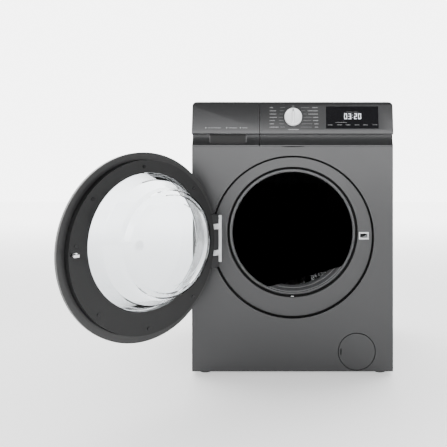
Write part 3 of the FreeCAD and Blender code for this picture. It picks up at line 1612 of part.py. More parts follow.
def drain_pump():
    """The drain pump with its filter chamber, the screw-in filter, and the hoses."""
    outer = "filter_radius + gap + chamber_wall"
    end = "chamber_y + chamber_length"
    at = ("flap_x", "flap_z")
    tube = rod_y("chamber_tube", *at, ("chamber_y", end), outer)
    spout = rod("chamber_spout", "z", ("flap_x", "sump_y", "flap_z"), "hose_radius + hose_wall", "58")
    outlet = rod(
        "chamber_outlet",
        "x",
        ("flap_x", "sump_y + 20", "drain_z"),
        "drain_radius + 2",
        f"drain_x - flap_x - 16",
    )
    space = rod_y("chamber_space", *at, ("chamber_y - 1", f"{end} - 4"), "filter_radius + gap")
    spout_bore = rod("spout_bore", "z", ("flap_x", "sump_y", "flap_z"), "hose_radius", "60")
    outlet_bore = rod(
        "outlet_bore", "x", ("flap_x", "sump_y + 20", "drain_z"), "drain_radius", "drain_x - flap_x"
    )
    motor = rod_y("pump_motor", *at, (end, f"{end} + 58"), "filter_radius - 4")
    joined = fuse("chamber_joined", tube, spout, outlet, motor)
    node("drain_pump", cut("chamber", joined, space, spout_bore, outlet_bore))

    cap = rod_y("filter_cap_disc", *at, ("cap_y", "chamber_y - gap"), "filter_radius + 4")
    plug = rod_y("filter_plug", *at, ("cap_y + 1", "chamber_y + 16"), "filter_radius")
    grip = box(
        "filter_grip",
        ("flap_x - 5", "flap_x + 5"),
        ("cap_y - 8", "cap_y + 1"),
        ("flap_z - 24", "flap_z + 24"),
    )
    basket = ring(
        "filter_basket",
        "y",
        ("flap_x", "chamber_y + 15", "flap_z"),
        "filter_radius - 6",
        "filter_radius - 9",
        "50",
    )
    node("drain_filter", fuse("filter_joined", cap, plug, grip, basket))

    hose_z = ("flap_z + 40", "damper_lug - 24")
    node(
        "sump_hose",
        ring(
            "sump_sleeve", "z", (
                "flap_x", "sump_y", hose_z[0]
            ), "hose_radius + 2 * hose_wall", "hose_radius + hose_wall + seam", f"({hose_z[1]}) - ({hose_z[0]})"
        ),
    )
    across = rod("drain_across", "x", ("drain_x - 15", "sump_y + 20", "drain_z"), "drain_radius + 2", "15")
    elbow = bind(doc.addObject("Part::Sphere", "drain_elbow"), Radius="drain_radius + 2")
    put(elbow, "drain_x", "sump_y + 20", "drain_z")
    along = rod_y("drain_along", "drain_x", "drain_z", ("sump_y + 20", "rear - 14"), "drain_radius + 2")
    drain_line = fuse("drain_line", across, elbow, along)
    feed_y = ("front + worktop_setback + 2 + drawer_depth + 8", "rear - 60 - seam")
    feed = rod_y("fill_line", "inlet_x", "inlet_z", feed_y, "8")
    feed_bore = rod_y("fill_bore", "inlet_x", "inlet_z", ("front", "rear"), "5.5")
    node("water_hoses", group("hoses", drain_line, cut("fill_tube", feed, feed_bore)))
    spigot = rod_y("spigot", "drain_x", "drain_z", ("rear - 14 + seam", "rear + 22"), "drain_radius")
    collar = rod_y("spigot_collar", "drain_x", "drain_z", ("rear - 8", "rear + 2"), "drain_radius + 2.5")
    bore = rod_y("spigot_bore", "drain_x", "drain_z", ("rear - 30", "rear + 30"), "drain_radius - 2")
    node("drain_outlet", cut("outlet", fuse("outlet_joined", spigot, collar), bore))


def services():
    """The inlet valve and the rear fittings."""
    at = ("inlet_x", "inlet_z")
    stub = rod_y("inlet_stub", *at, ("rear - 30", "rear + 20"), "inlet_radius")
    bore = rod_y("inlet_bore", *at, ("rear - 20", "rear + 21"), "inlet_radius - 3")
    coil = box(
        "inlet_coil",
        ("inlet_x - 18", "inlet_x + 18"),
        ("rear - 60", "rear - 8"),
        ("inlet_z - 20", "inlet_z + 18"),
    )
    node("inlet_valve", cut("valve", fuse("valve_joined", stub, coil), bore))
    body = rod_y("gland_body", "gland_x", "gland_z", ("rear - 8", "rear + 14"), "gland_radius")
    collar = rod_y("gland_collar", "gland_x", "gland_z", ("rear + seam", "rear + 4"), "gland_radius + 4")
    hole = rod_y("gland_hole_through", "gland_x", "gland_z", ("rear - 10", "rear + 20"), "gland_bore")
    node("cable_gland", cut("gland", fuse("gland_joined", body, collar), hole))
    caps = []
    for i, (x, z) in enumerate(transit_places()):
        disc = rod_y(f"cap_disc_{i}", x, z, ("rear + 0.05", "rear + 2"), "transit_radius + 4")
        plug = rod_y(f"cap_plug_{i}", x, z, ("rear - sheet - 4", "rear + 1"), "transit_radius - seam")
        caps.append(fuse(f"transit_cap_{i}", disc, plug))
    node("transit_caps", group("caps", *caps))
    screws = list(CABINET_SCREWS)
    for i, (x, z) in enumerate(rear_screw_places()):
        head = rod_y(f"rear_head_{i}", x, z, ("rear + 0.05", "rear + screw_rise"), "screw_head")
        shank = rod_y(f"rear_shank_{i}", x, z, ("rear - sheet", "rear + 1"), "screw_head / 2 - seam")
        screws.append(fuse(f"rear_screw_{i}", head, shank))
    node("cabinet_screws", group("screws_of_cabinet", *screws))


def write_parts():
    """Check every object and write each sub-part as a STEP file."""
    doc.recompute()
    for thing in doc.Objects:
        if "Invalid" in thing.State or "Error" in thing.State:
            raise RuntimeError(f"{thing.Name} failed: {thing.State}")
    os.makedirs("parts", exist_ok=True)
    for thing in NODES:
        shape = thing.Shape
        if shape.isNull() or not shape.isValid() or not shape.Solids:
            raise RuntimeError(f"{thing.Label} has no valid solid")
    for thing in NODES:
        thing.Shape.exportStep(f"parts/{thing.Label}.step")
    print(len(NODES), "sub-parts")


front_panel()
side_panels()
rear_panel()
worktop()
base_tray()
feet()
top_rails()
control_fascia()
knob()
display()
drawer()
door_ring()
door_window()
door_inner_frame()
door_screws()
glass_bowl()
hinge()
latch()
door_seal()
tub()
counterweights()
drum()
spider_and_shaft()
drive()
heater()
suspension()
filter_door()
drain_pump()
services()
write_parts()
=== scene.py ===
"""Looks for a front load washing machine: finishes, softened panels, door, drum, controls and studio."""

import json
import math

import bmesh
import bpy
from mathutils import Matrix, Vector

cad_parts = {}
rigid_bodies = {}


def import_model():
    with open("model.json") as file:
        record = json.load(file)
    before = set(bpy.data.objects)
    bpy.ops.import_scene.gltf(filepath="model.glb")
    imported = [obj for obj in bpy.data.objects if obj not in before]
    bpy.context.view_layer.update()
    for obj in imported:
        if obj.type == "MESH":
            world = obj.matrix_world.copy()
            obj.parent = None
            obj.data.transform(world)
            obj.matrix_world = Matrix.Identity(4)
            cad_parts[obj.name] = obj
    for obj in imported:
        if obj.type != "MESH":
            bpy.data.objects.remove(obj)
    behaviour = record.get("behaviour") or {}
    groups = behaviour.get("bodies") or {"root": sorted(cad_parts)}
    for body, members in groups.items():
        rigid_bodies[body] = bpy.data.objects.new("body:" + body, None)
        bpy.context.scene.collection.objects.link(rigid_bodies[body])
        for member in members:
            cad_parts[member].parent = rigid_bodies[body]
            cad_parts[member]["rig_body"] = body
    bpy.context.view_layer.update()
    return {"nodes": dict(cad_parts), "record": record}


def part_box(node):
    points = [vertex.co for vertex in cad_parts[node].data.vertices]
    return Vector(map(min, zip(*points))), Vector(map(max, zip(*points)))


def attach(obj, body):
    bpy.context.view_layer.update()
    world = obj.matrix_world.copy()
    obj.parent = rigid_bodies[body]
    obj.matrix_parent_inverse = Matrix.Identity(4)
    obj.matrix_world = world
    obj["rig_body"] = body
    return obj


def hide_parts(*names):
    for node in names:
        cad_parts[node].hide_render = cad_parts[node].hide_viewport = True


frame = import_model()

bl_info = {
    "name": "Front Load Washer",
    "version": (1, 0, 0),
    "blender": (4, 5, 0),
    "location": "3D View > Sidebar > Washer",
    "description": "Makes the finishes and fine shapes of a front load washing machine",
    "category": "Object",
}

NODES = frame["nodes"]
MM = 0.001

# Places taken from the frame, in metres.
CABINET_LOW, CABINET_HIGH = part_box("front_panel")
FRONT = CABINET_LOW.y
FASCIA_LOW, FASCIA_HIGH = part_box("control_fascia")
HUB_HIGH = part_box("hub_cap")[1]
DRUM_LOW, DRUM_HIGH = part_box("drum_back")
AXIS_Z = (DRUM_LOW.z + DRUM_HIGH.z) / 2
KNOB_LOW, KNOB_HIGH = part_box("programme_knob")
KNOB_X = (KNOB_LOW.x + KNOB_HIGH.x) / 2
WINDOW_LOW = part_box("display_window")[0]
PANEL_LEAN = math.radians(9)
PANEL_Y = FASCIA_LOW.y
BROW_Z = FASCIA_HIGH.z - 0.087
KNOB_JOINT = next(joint for joint in frame["record"]["behaviour"]["joints"] if joint["child"] == "knob")
KNOB_Z = KNOB_JOINT["pos_m"][2]
WINDOW_Z = KNOB_Z
DOOR_Z = 0.410

# The pressed star of the drum's back, in metres.
STAR_ROUND, STAR_PITCH = 0.243, 0.305
LENS_ROUND, LENS_PITCH = 0.300, 0.406

# Printed marks reach from just inside the panel's face to just proud of it, in metres.
PRINT_LOW, PRINT_HIGH = -0.0002, 0.00012
LABEL_STEP = 0.0099
DRAWER_MARKS_Z = 0.7355
DIGITS_X, DIGIT_STEP, COLON_STEP = 0.1545, 0.0122, 0.0052
KEYS_X = (0.11189, 0.13982, 0.16508, 0.19213, 0.21739, 0.24532)

# What the camera frames at the front panel: its width, and where its middle lies.
VIEW_WIDTH = 1.33234
VIEW_X, VIEW_Z = -0.2058, 0.45065
CAMERA_X = -0.008
SENSOR = 36


# ---- settings ----


class WasherColours(bpy.types.PropertyGroup):
    """Colours of the machine's finishes"""

    titanium: bpy.props.FloatVectorProperty(
        name="Titanium", description="Painted steel front and sides", subtype="COLOR", size=3, default=(
            0.040, 0.0404, 0.0415
        )
    )
    fascia: bpy.props.FloatVectorProperty(
        name="Fascia", description="Moulded control panel and drawer front", subtype="COLOR", size=3,
        default=(
            0.046, 0.0464, 0.0476
        )
    )
    door_ring: bpy.props.FloatVectorProperty(
        name="Door ring", description="Inner frame of the door", subtype="COLOR", size=3, default=(
            0.0062, 0.0063, 0.0066
        )
    )
    seal: bpy.props.FloatVectorProperty(
        name="Seal", description="Rubber of the door seal", subtype="COLOR", size=3,
        default=(0.1, 0.102, 0.105)
    )
    knob: bpy.props.FloatVectorProperty(
        name="Knob", description="Metallised programme knob", subtype="COLOR", size=3,
        default=(0.86, 0.87, 0.88)
    )
    print_ink: bpy.props.FloatVectorProperty(
        name="Print", description="Printed marks on the panel", subtype="COLOR", size=3,
        default=(0.3, 0.305, 0.31)
    )


class WasherSizes(bpy.types.PropertyGroup):
    """Sizes of the fine shapes"""

    sheet_edge: bpy.props.FloatProperty(
        name="Sheet edge", description="Rounding of folded steel edges", unit="LENGTH", default=0.0022,
        min=0.0002
    )
    moulded_edge: bpy.props.FloatProperty(
        name="Moulded edge", description="Rounding of moulded edges", unit="LENGTH", default=0.0012,
        min=0.0002
    )
    hole_pitch: bpy.props.FloatProperty(
        name="Hole pitch", description="Spacing of the drum's holes", unit="LENGTH", default=0.0142,
        min=0.004
    )
    hole_radius: bpy.props.FloatProperty(
        name="Hole radius", description="Radius of the drum's holes", unit="LENGTH", default=0.0031,
        min=0.0005
    )
    front_air: bpy.props.FloatProperty(
        name="Front air", description="Brightness of the studio in front of the machine", default=0.16,
        min=0
    )
    back_air: bpy.props.FloatProperty(
        name="Back air", description="Brightness of the studio behind the machine", default=6.0, min=0
    )
    floor_glow: bpy.props.FloatProperty(
        name="Floor glow", description="Brightness that the floor gives out", default=0.55, min=0
    )
    camera_distance: bpy.props.FloatProperty(
        name="Camera distance", description="Camera to the front panel", unit="LENGTH", default=1.57,
        min=0.5
    )
    camera_height: bpy.props.FloatProperty(
        name="Camera height", description="Camera above the floor", unit="LENGTH", default=0.58, min=0.1
    )


def colours():
    return bpy.context.scene.washer_colours


def sizes():
    return bpy.context.scene.washer_sizes


# ---- shader maths ----


class Value:
    """One output socket, with arithmetic that adds Math nodes."""

    def __init__(self, finish, socket):
        self.finish = finish
        self.socket = socket

    def _math(self, operation, *others, flip=False):
        terms = [self, *others]
        if flip:
            terms.reverse()
        return self.finish.add("ShaderNodeMath", {"operation": operation}, *terms)

    def __add__(self, other):
        return self._math("ADD", other)

    __radd__ = __add__

    def __sub__(self, other):
        return self._math("SUBTRACT", other)

    def __rsub__(self, other):
        return self._math("SUBTRACT", other, flip=True)

    def __mul__(self, other):
        return self._math("MULTIPLY", other)

    __rmul__ = __mul__

    def __truediv__(self, other):
        return self._math("DIVIDE", other)

    def __rtruediv__(self, other):
        return self._math("DIVIDE", other, flip=True)

    def root(self):
        return self._math("SQRT")

    def floor(self):
        return self._math("FLOOR")

    def least(self, other):
        return self._math("MINIMUM", other)

    def most(self, other):
        return self._math("MAXIMUM", other)

    def angle(self, other):
        return self._math("ARCTAN2", other)

    def within(self, low, high):
        """0 below low, 1 above high, smooth between."""
        return self.finish.add(
            "ShaderNodeMapRange", {"interpolation_type": "SMOOTHSTEP"}, self, low, high, 0.0, 1.0
        )


class Finish:
    """A material with one Principled shader and a method that adds any other node."""

    def __init__(self, name, colour, roughness, metallic=0.0, **sockets):
        self.material = bpy.data.materials.new(name)
        self.material.use_nodes = True
        self.tree = self.material.node_tree
        self.shader = self.tree.nodes["Principled BSDF"]
        self.shader.inputs["Base Color"].default_value = (*colour, 1)
        self.shader.inputs["Roughness"].default_value = roughness
        self.shader.inputs["Metallic"].default_value = metallic
        for name_, value in sockets.items():
            self.shader.inputs[name_.replace("_", " ")].default_value = value
        self.colour = (*colour, 1)

    def add(self, kind, settings=None, *inputs, out=0, **named):
        node = self.tree.nodes.new(kind)
        for key, value in (settings or {}).items():
            setattr(node, key, value)
        for at, value in enumerate(inputs):
            self._feed(node.inputs[at], value)
        for key, value in named.items():
            self._feed(node.inputs[key.replace("_", " ")], value)
        return Value(self, node.outputs[out])

    def _feed(self, socket, value):
        if isinstance(value, Value):
            self.tree.links.new(value.socket, socket)
        elif value is not None:
            socket.default_value = value

    def place(self):
        node = self.tree.nodes.new("ShaderNodeTexCoord")
        return Value(self, node.outputs["Object"])

    def across(self):
        """x, y and z of the point, in metres."""
        parts = self.add("ShaderNodeSeparateXYZ", None, self.place())
        outputs = parts.socket.node.outputs
        return [Value(self, outputs[i]) for i in range(3)]

    def noise(self, scale, detail=3.0, roughness=0.5, stretch=(1, 1, 1)):
        place = self.add("ShaderNodeMapping", None, self.place(), Scale=stretch)
        return self.add(
            "ShaderNodeTexNoise", None, Vector=place, Scale=scale, Detail=detail, Roughness=roughness
        )

    def blend(self, mask, low, high):
        node = self.tree.nodes.new("ShaderNodeMix")
        node.data_type = "RGBA"
        self._feed(node.inputs[0], mask)
        self._feed(node.inputs[6], low)
        self._feed(node.inputs[7], high)
        return Value(self, node.outputs[2])

    def feed(self, socket, value):
        self._feed(self.shader.inputs[socket], value)

    def bump(self, height, distance, strength=0.5):
        self.feed(
            "Normal", self.add("ShaderNodeBump", None, Height=height, Distance=distance, Strength=strength)
        )

    def scaled(self, factor):
        return (*[min(1.0, part * factor) for part in self.colour[:3]], 1)

    def speckle(self, scale, low, high, detail=2.0, stretch=(1, 1, 1)):
        """Vary the base colour a little with noise."""
        mask = self.noise(scale, detail, stretch=stretch).within(0.35, 0.65)
        self.feed("Base Color", self.blend(mask, self.scaled(low), self.scaled(high)))


FINISHES = {}


def steel_paint(name, colour):
    """Satin metallic paint with fine flakes and a faint orange peel."""
    paint = Finish(name, colour, 0.36, 0.6, Specular_IOR_Level=0.4, Coat_Weight=0.12, Coat_Roughness=0.22)
    flakes = paint.noise(2600, 1.0).within(0.45, 0.75)
    paint.feed("Base Color", paint.blend(flakes, paint.scaled(0.92), paint.scaled(1.22)))
    cloud = paint.noise(9, 2.0)
    paint.feed("Roughness", 0.33 + cloud * 0.08)
    paint.bump(paint.noise(420, 2.0), 0.00005, 0.25)
    return paint


def moulding(name, colour, roughness=0.45, grain=900, depth=0.00006, **sockets):
    """Moulded plastic with a fine texture and slight unevenness."""
    plastic = Finish(name, colour, roughness, **sockets)
    plastic.speckle(grain / 3, 0.94, 1.05)
    plastic.feed("Roughness", roughness - 0.04 + plastic.noise(14, 2.0) * 0.08)
    plastic.bump(plastic.noise(grain, 2.0), depth, 0.3)
    return plastic


def rubber(name, colour, roughness=0.62):
    """Moulded rubber, matt with a dusty bloom."""
    mix = Finish(name, colour, roughness)
    mix.speckle(60, 0.88, 1.1, 4.0)
    mix.feed("Roughness", roughness - 0.08 + mix.noise(35, 3.0) * 0.16)
    mix.bump(mix.noise(700, 3.0), 0.00008, 0.3)
    return mix


def brushed(name, colour, roughness=0.28, stretch=(4, 220, 4)):
    """Metal brushed along one way."""
    metal = Finish(name, colour, roughness, 1.0)
    lines = metal.noise(30, 4.0, 0.6, stretch)
    metal.feed("Base Color", metal.blend(lines, metal.scaled(0.85), metal.scaled(1.08)))
    metal.feed("Roughness", roughness - 0.06 + lines * 0.14)
    metal.bump(lines, 0.00004, 0.2)
    return metal


def clear(name, colour, roughness=0.02):
    """Clear moulded glass or plastic."""
    glass = Finish(name, colour, roughness, Transmission_Weight=1.0, IOR=1.46)
    glass.feed("Roughness", roughness + glass.noise(25, 2.0) * 0.012)
    glass.bump(glass.noise(6, 1.0), 0.0004, 0.15)
    return glass


def hex_holes(finish, u, v):
    """A staggered grid of holes over two lengths in metres: the hole, then its dimple, each 0 to 1."""
    pitch = sizes().hole_pitch
    rise = pitch * math.sqrt(3)

    def nearest(shift_u, shift_v):
        a = (u + shift_u) / pitch
        b = (v + shift_v) / rise
        a = (a - a.floor() - 0.5) * pitch
        b = (b - b.floor() - 0.5) * rise
        return (a * a + b * b).root()

    away = nearest(0.0, 0.0).least(nearest(pitch / 2, rise / 2))
    radius = sizes().hole_radius
    hole = 1.0 - away.within(radius * 0.85, radius * 1.15)
    dimple = 1.0 - away.within(radius, radius * 2.1)
    return hole, dimple


def drum_steel(name, zones):
    """Polished stainless steel, perforated where zones says."""
    steel = Finish(name, (0.5, 0.51, 0.52), 0.2, 1.0)
    x, y, z = steel.across()
    height = z - AXIS_Z
    lines = steel.noise(40, 3.0, 0.5, (1, 1, 1))
    roughness = 0.1 + lines * 0.1
    if zones == "back":
        hole, dimple = hex_holes(steel, x, height)
        reach = None
        for turn in (90, 210, 330):
            dx = x - LENS_PITCH * math.cos(math.radians(turn))
            dz = height - LENS_PITCH * math.sin(math.radians(turn))
            lens = 1.0 - (dx * dx + dz * dz).root().within(LENS_ROUND - 0.034, LENS_ROUND - 0.030)
            reach = lens if reach is None else reach.most(lens)
    elif zones == "wall":
        around = x.angle(height) * 0.25
        hole, dimple = hex_holes(steel, around, y)
        reach = y.within(-0.150, -0.146) * (1.0 - y.within(0.160, 0.164))
    else:
        steel.feed("Roughness", roughness)
        steel.bump(lines, 0.00004, 0.2)
        return steel
    hole = hole * reach
    dimple = dimple * reach
    steel.feed("Base Color", steel.blend(hole, (0.5, 0.51, 0.52, 1), (0.002, 0.002, 0.002, 1)))
    steel.feed("Metallic", 1.0 - hole)
    steel.feed("Roughness", roughness + hole * 0.5)
    steel.bump(dimple * -1.0, 0.0012, 0.5)
    return steel


def make_finishes():
    c = colours()
    f = FINISHES
    f["titanium"] = steel_paint("titanium paint", c.titanium)
    f["fascia"] = steel_paint("titanium moulding", c.fascia)
    f["drawer"] = steel_paint("drawer moulding", c.fascia)
    x, y, z = f["drawer"].across()
    # Painted shade: the drawer front's handle pocket is made near-black, rough and non-metallic, standing
    # for the shade inside the recess.
    pocket_shade = x.within(-0.2485, -0.2465) * (1.0 - x.within(-0.1415, -0.1395)) * y.within(-0.2675, -0.2662)
    lit = f["drawer"].shader.inputs["Base Color"].links[0].from_socket
    f["drawer"].feed(
        "Base Color", f["drawer"].blend(pocket_shade, Value(f["drawer"], lit), (0.002, 0.002, 0.002, 1))
    )
    f["drawer"].feed("Roughness", 0.35 + pocket_shade * 0.5)
    f["drawer"].feed("Metallic", 0.6 - pocket_shade * 0.6)
    f["ring"] = moulding("door frame grey", c.door_ring, 0.4, 1000, Specular_IOR_Level=0.3)
    f["ring_front"] = moulding("door rim grey", (0.008, 0.0081, 0.0085), 0.36, 1000)
    f["black"] = moulding("black moulding", (0.012, 0.012, 0.013), 0.42, 800)
    f["charcoal"] = moulding("worktop laminate", (0.03, 0.03, 0.032), 0.5, 600)
    f["pale"] = moulding("pale moulding", (0.6, 0.61, 0.62), 0.4, 700)
    f["tub"] = moulding("tub moulding", (0.45, 0.46, 0.47), 0.5, 300)
    f["lock"] = moulding("lock grey", (0.5, 0.51, 0.52), 0.35, 700)
    f["circuit"] = moulding("circuit lacquer", (0.01, 0.09, 0.03), 0.3, 500)
    f["knob"] = moulding("knob silver", c.knob, 0.22, 1500, 0.00002)
    f["seal"] = rubber("seal rubber", c.seal, 0.5)
    f["rubber"] = rubber("black rubber", (0.012, 0.012, 0.012))
    # Near-black, matt and dull: painted shade for the gaps, slots and steps it is put on.
    f["painted_shade"] = rubber("groove rubber", (0.003, 0.003, 0.003), 0.85)
    f["painted_shade"].shader.inputs["Specular IOR Level"].default_value = 0.08
    f["zinc"] = brushed("bright zinc", (0.8, 0.8, 0.81), 0.25, (60, 60, 4))
    f["bracket"] = moulding("plated bracket", (0.72, 0.73, 0.74), 0.3, 900, Metallic=0.25)
    f["sprung"] = brushed("ground steel", (0.5, 0.5, 0.51), 0.3)
    f["blackened"] = moulding("blackened steel", (0.02, 0.02, 0.021), 0.25, 900, Metallic=0.8)
    f["galvanised"] = moulding("galvanised sheet", (0.42, 0.44, 0.46), 0.42, 60, 0.0001)
    f["alloy"] = moulding("cast alloy", (0.5, 0.51, 0.52), 0.45, 500, 0.0002)
    f["concrete"] = moulding("cast concrete", (0.4, 0.39, 0.37), 0.85, 90, 0.0006)
    f["iron"] = moulding("painted iron", (0.03, 0.03, 0.032), 0.45, 300, 0.0002)
    f["chrome"] = brushed("hub chrome", (0.95, 0.95, 0.96), 0.12)
    f["hub_dark"] = moulding("hub grey", (0.02, 0.02, 0.021), 0.3, 700, Metallic=0.7)
    f["lifter"] = moulding("lifter grey", (0.03, 0.031, 0.032), 0.3, 700)
    f["drum_back"] = drum_steel("drum back steel", "back")
    f["drum_wall"] = drum_steel("drum wall steel", "wall")
    f["drum_plain"] = drum_steel("drum steel", "none")
    f["bowl"] = clear("bowl glass", (0.93, 0.95, 0.96), 0.015)
    f["window"] = clear("window", (0.82, 0.84, 0.86), 0.02)
    screen = Finish("display glass", (0.004, 0.004, 0.005), 0.06, Coat_Weight=0.6, Coat_Roughness=0.03)
    screen.feed("Roughness", 0.05 + screen.noise(18, 2.0) * 0.04)
    f["screen"] = screen
    ink = Finish("panel print", c.print_ink, 0.5)
    ink.speckle(1800, 0.9, 1.05)
    f["ink"] = ink
    digits = Finish("lit digits", (0.9, 0.92, 0.95), 0.4, Emission_Strength=1.3)
    digits.feed("Emission Color", digits.blend(digits.noise(900, 1.0), (0.85, 0.9, 1, 1), (1, 1, 1, 1)))
    f["digits"] = digits


NODE_FINISH = {
    "titanium": ("front_panel", "left_side_panel", "right_side_panel", "filter_flap"),
    "fascia": ("control_fascia", "drawer_front"),
    "charcoal": ("worktop",),
    "black": ("base_tray", "damper_cylinders", "filter_frame", "cable_gland", "door_hinge_block"),
    "ring": ("door_inner_frame",),
    "ring_front": ("door_outer_ring",),
    "pale": (
        "dispenser_housing",
        "drain_pump",
        "drain_outlet",
        "inlet_valve",
        "transit_caps",
        "drawer_tray",
        "drain_filter",
    ),
    "tub": ("tub_front_half", "tub_rear_half"),
    "lock": ("door_lock",),
    "circuit": ("control_board",),
    "knob": ("programme_knob",),
    "seal": ("door_seal",),
    "rubber": (
        "sump_hose",
        "water_hoses",
        "drive_belt",
        "foot_front_left",
        "foot_front_right",
        "foot_rear_left",
        "foot_rear_right",
    ),
    "zinc": ("hinge_bracket", "latch_hook", "cabinet_screws"),
    "blackened": ("door_screws",),
    "sprung": (
        "hinge_pin", "suspension_springs", "damper_rods", "drum_bearings", "drum_shaft", "motor_rotor"
    ),
    "galvanised": ("rear_panel", "top_rails"),
    "alloy": ("bearing_housing", "drum_spider", "drum_pulley"),
    "concrete": ("counterweights",),
    "iron": ("drive_motor",),
    "lifter": ("drum_lifters",),
    "drum_back": ("drum_back",),
    "drum_wall": ("drum_shell",),
    "drum_plain": ("drum_mouth_ring", "hub_cap", "heating_element"),
    "bowl": ("door_glass_bowl",),
    "window": ("door_window",),
    "screen": ("display_window",),
}


# ---- shaping helpers ----


def finish_object(thing, finish):
    thing.data.materials.clear()
    thing.data.materials.append(FINISHES[finish].material)


def new_piece(name, bm, finish, body, sharp=30):
    """A piece from a bmesh, smooth except at its sharp edges, riding on a body."""
    bmesh.ops.remove_doubles(bm, verts=bm.verts, dist=1e-6)
    bmesh.ops.recalc_face_normals(bm, faces=bm.faces)
    for face in bm.faces:
        face.smooth = True
    for edge in bm.edges:
        edge.smooth = len(edge.link_faces) == 2 and edge.calc_face_angle(0) < math.radians(sharp)
    mesh = bpy.data.meshes.new(name)
    bm.to_mesh(mesh)
    bm.free()
    thing = bpy.data.objects.new(name, mesh)
    bpy.context.scene.collection.objects.link(thing)
    finish_object(thing, finish)
    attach(thing, body)
    return thing


def softened(node, width, finish, segments=3, angle=32):
    """A copy of a CAD node with its flat faces joined and its edges rounded."""
    source = NODES[node]
    bm = bmesh.new()
    bm.from_mesh(source.data)
    bmesh.ops.remove_doubles(bm, verts=bm.verts, dist=2e-6)
    bmesh.ops.dissolve_limit(
        bm, angle_limit=math.radians(0.4), use_dissolve_boundaries=False, verts=bm.verts, edges=bm.edges
    )
    for face in bm.faces:
        face.smooth = True
    for edge in bm.edges:
        edge.smooth = len(edge.link_faces) == 2 and edge.calc_face_angle(0) < math.radians(angle)
    mesh = bpy.data.meshes.new(node + "_shape")
    bm.to_mesh(mesh)
    bm.free()
    thing = bpy.data.objects.new(node + "_shape", mesh)
    bpy.context.scene.collection.objects.link(thing)
    rounding = thing.modifiers.new("Edges", "BEVEL")
    rounding.width = width
    rounding.segments = segments
    rounding.limit_method = "ANGLE"
    rounding.angle_limit = math.radians(angle)
    rounding.use_clamp_overlap = True
    rounding.harden_normals = True
    finish_object(thing, finish)
    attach(thing, source["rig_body"])
    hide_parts(node)
    return thing


def spun(name, profile, finish, body, centre=(0, 0), steps=160, place=None, sharp=30):
    """A closed ring or bowl from (y, radius) corners in millimetres, turned about a front to back axis."""
    bm = bmesh.new()
    verts = [bm.verts.new((0, y * MM, r * MM)) for y, r in profile]
    edges = [bm.edges.new((a, b)) for a, b in zip(verts, verts[1:])]
    if profile[0][1] > 0 and profile[-1][1] > 0:
        edges.append(bm.edges.new((verts[-1], verts[0])))
    bmesh.ops.spin(
        bm, geom=verts + edges, cent=(0, 0, 0), axis=(0, 1, 0), angle=math.tau, steps=steps, use_merge=True
    )
    bmesh.ops.transform(bm, matrix=Matrix.Translation((centre[0], 0, centre[1])), verts=bm.verts)
    if place is not None:
        bmesh.ops.transform(bm, matrix=place, verts=bm.verts)
    return new_piece(name, bm, finish, body, sharp)


def smooth(value, low, high):
    """0 below low, 1 above high, smooth between."""
    t = min(1.0, max(0.0, (value - low) / (high - low)))
    return t * t * (3 - 2 * t)


def panel_place(x, z, out=0.0):
    """The place on the leaning control panel at x and z, with +Z out of the panel and +Y up it."""
    y = PANEL_Y + (z - BROW_Z) * math.tan(PANEL_LEAN)
    turn = Matrix.Rotation(math.pi / 2 - PANEL_LEAN, 4, "X")
    return Matrix.Translation((x, y, z)) @ turn @ Matrix.Translation((0, 0, out))


def block(bm, place, low, high):
    """A block between two corners of a place's own axes, in metres."""
    middle = [(a + b) / 2 for a, b in zip(low, high)]
    size = [b - a for a, b in zip(low, high)]
    matrix = place @ Matrix.Translation(middle) @ Matrix.Diagonal((*size, 1))
    return bmesh.ops.create_cube(bm, size=1, matrix=matrix)["verts"]


def disc(bm, place, radius, low, high, segments=48):
    """A short round bar along a place's own +Z."""
    matrix = place @ Matrix.Translation((0, 0, (low + high) / 2))
    return bmesh.ops.create_cone(
        bm, cap_ends=True, segments=segments, radius1=radius, radius2=radius, depth=high - low,
        matrix=matrix
    )["verts"]


# ---- pieces ----


class WASHER_OT_finishes(bpy.types.Operator):
    """Make every finish and give each CAD node its own"""

    bl_idname = "washer.finishes"
    bl_label = "Finishes"

    def execute(self, context):
        make_finishes()
        for finish, nodes in NODE_FINISH.items():
            for node in nodes:
                finish_object(NODES[node], finish)
        return {"FINISHED"}


class WASHER_OT_cabinet(bpy.types.Operator):
    """Round the folded and moulded edges of the cabinet"""

    bl_idname = "washer.cabinet"
    bl_label = "Cabinet"

    def execute(self, context):
        s = sizes()
        softened("front_panel", s.sheet_edge, "titanium")
        softened("worktop", s.moulded_edge, "charcoal")
        softened("filter_flap", s.moulded_edge * 0.6, "titanium")
        low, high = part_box("filter_flap")
        middle = ((low.x + high.x) / 2 / MM, (low.z + high.z) / 2 / MM)
        reach = (high.x - low.x) / 2 / MM
        # A near-black ring round the flap's edge: painted shadow in the gap round the flap.
        rim = [
            (-279.4, reach - 1.3),
            (-280.15, reach - 1.3),
            (-280.25, reach - 0.7),
            (-280.15, reach),
            (-279.4, reach),
        ]
        spun(
            "flap_gap_shade",
            rim,
            "painted_shade",
            "flap",
            centre=(middle[0] * MM, middle[1] * MM),
            steps=120,
        )
        # A near-black block on the flap: painted shade standing for its pry slot.
        bm = bmesh.new()
        block(
            bm,
            Matrix.Identity(4),
            (low.x + 0.0068, -0.2801, middle[1] * MM - 0.0088),
            (low.x + 0.0100, -0.2788, middle[1] * MM + 0.0088),
        )
        new_piece("flap_slot_shade", bm, "painted_shade", "flap")
        # A thin near-black lens at the front panel's top edge: painted shade standing for a shallow notch.
        bm = bmesh.new()
        seam = Matrix.Translation((0.0015, -0.2800, CABINET_HIGH.z)) @ Matrix.Rotation(math.pi / 2, 4, "X")
        disc(bm, seam @ Matrix.Diagonal((1, 0.075, 1, 1)), 0.036, -0.0002, 0.0004, 48)
        bmesh.ops.bisect_plane(
            bm, geom=bm.verts[:] + bm.edges[:] + bm.faces[:], plane_co=(0, 0, CABINET_HIGH.z - 0.0001),
            plane_no=(0, 0, 1), clear_outer=True,
        )
        bmesh.ops.holes_fill(bm, edges=bm.edges[:])
        new_piece("seam_notch_shade", bm, "painted_shade", "cabinet")
        return {"FINISHED"}


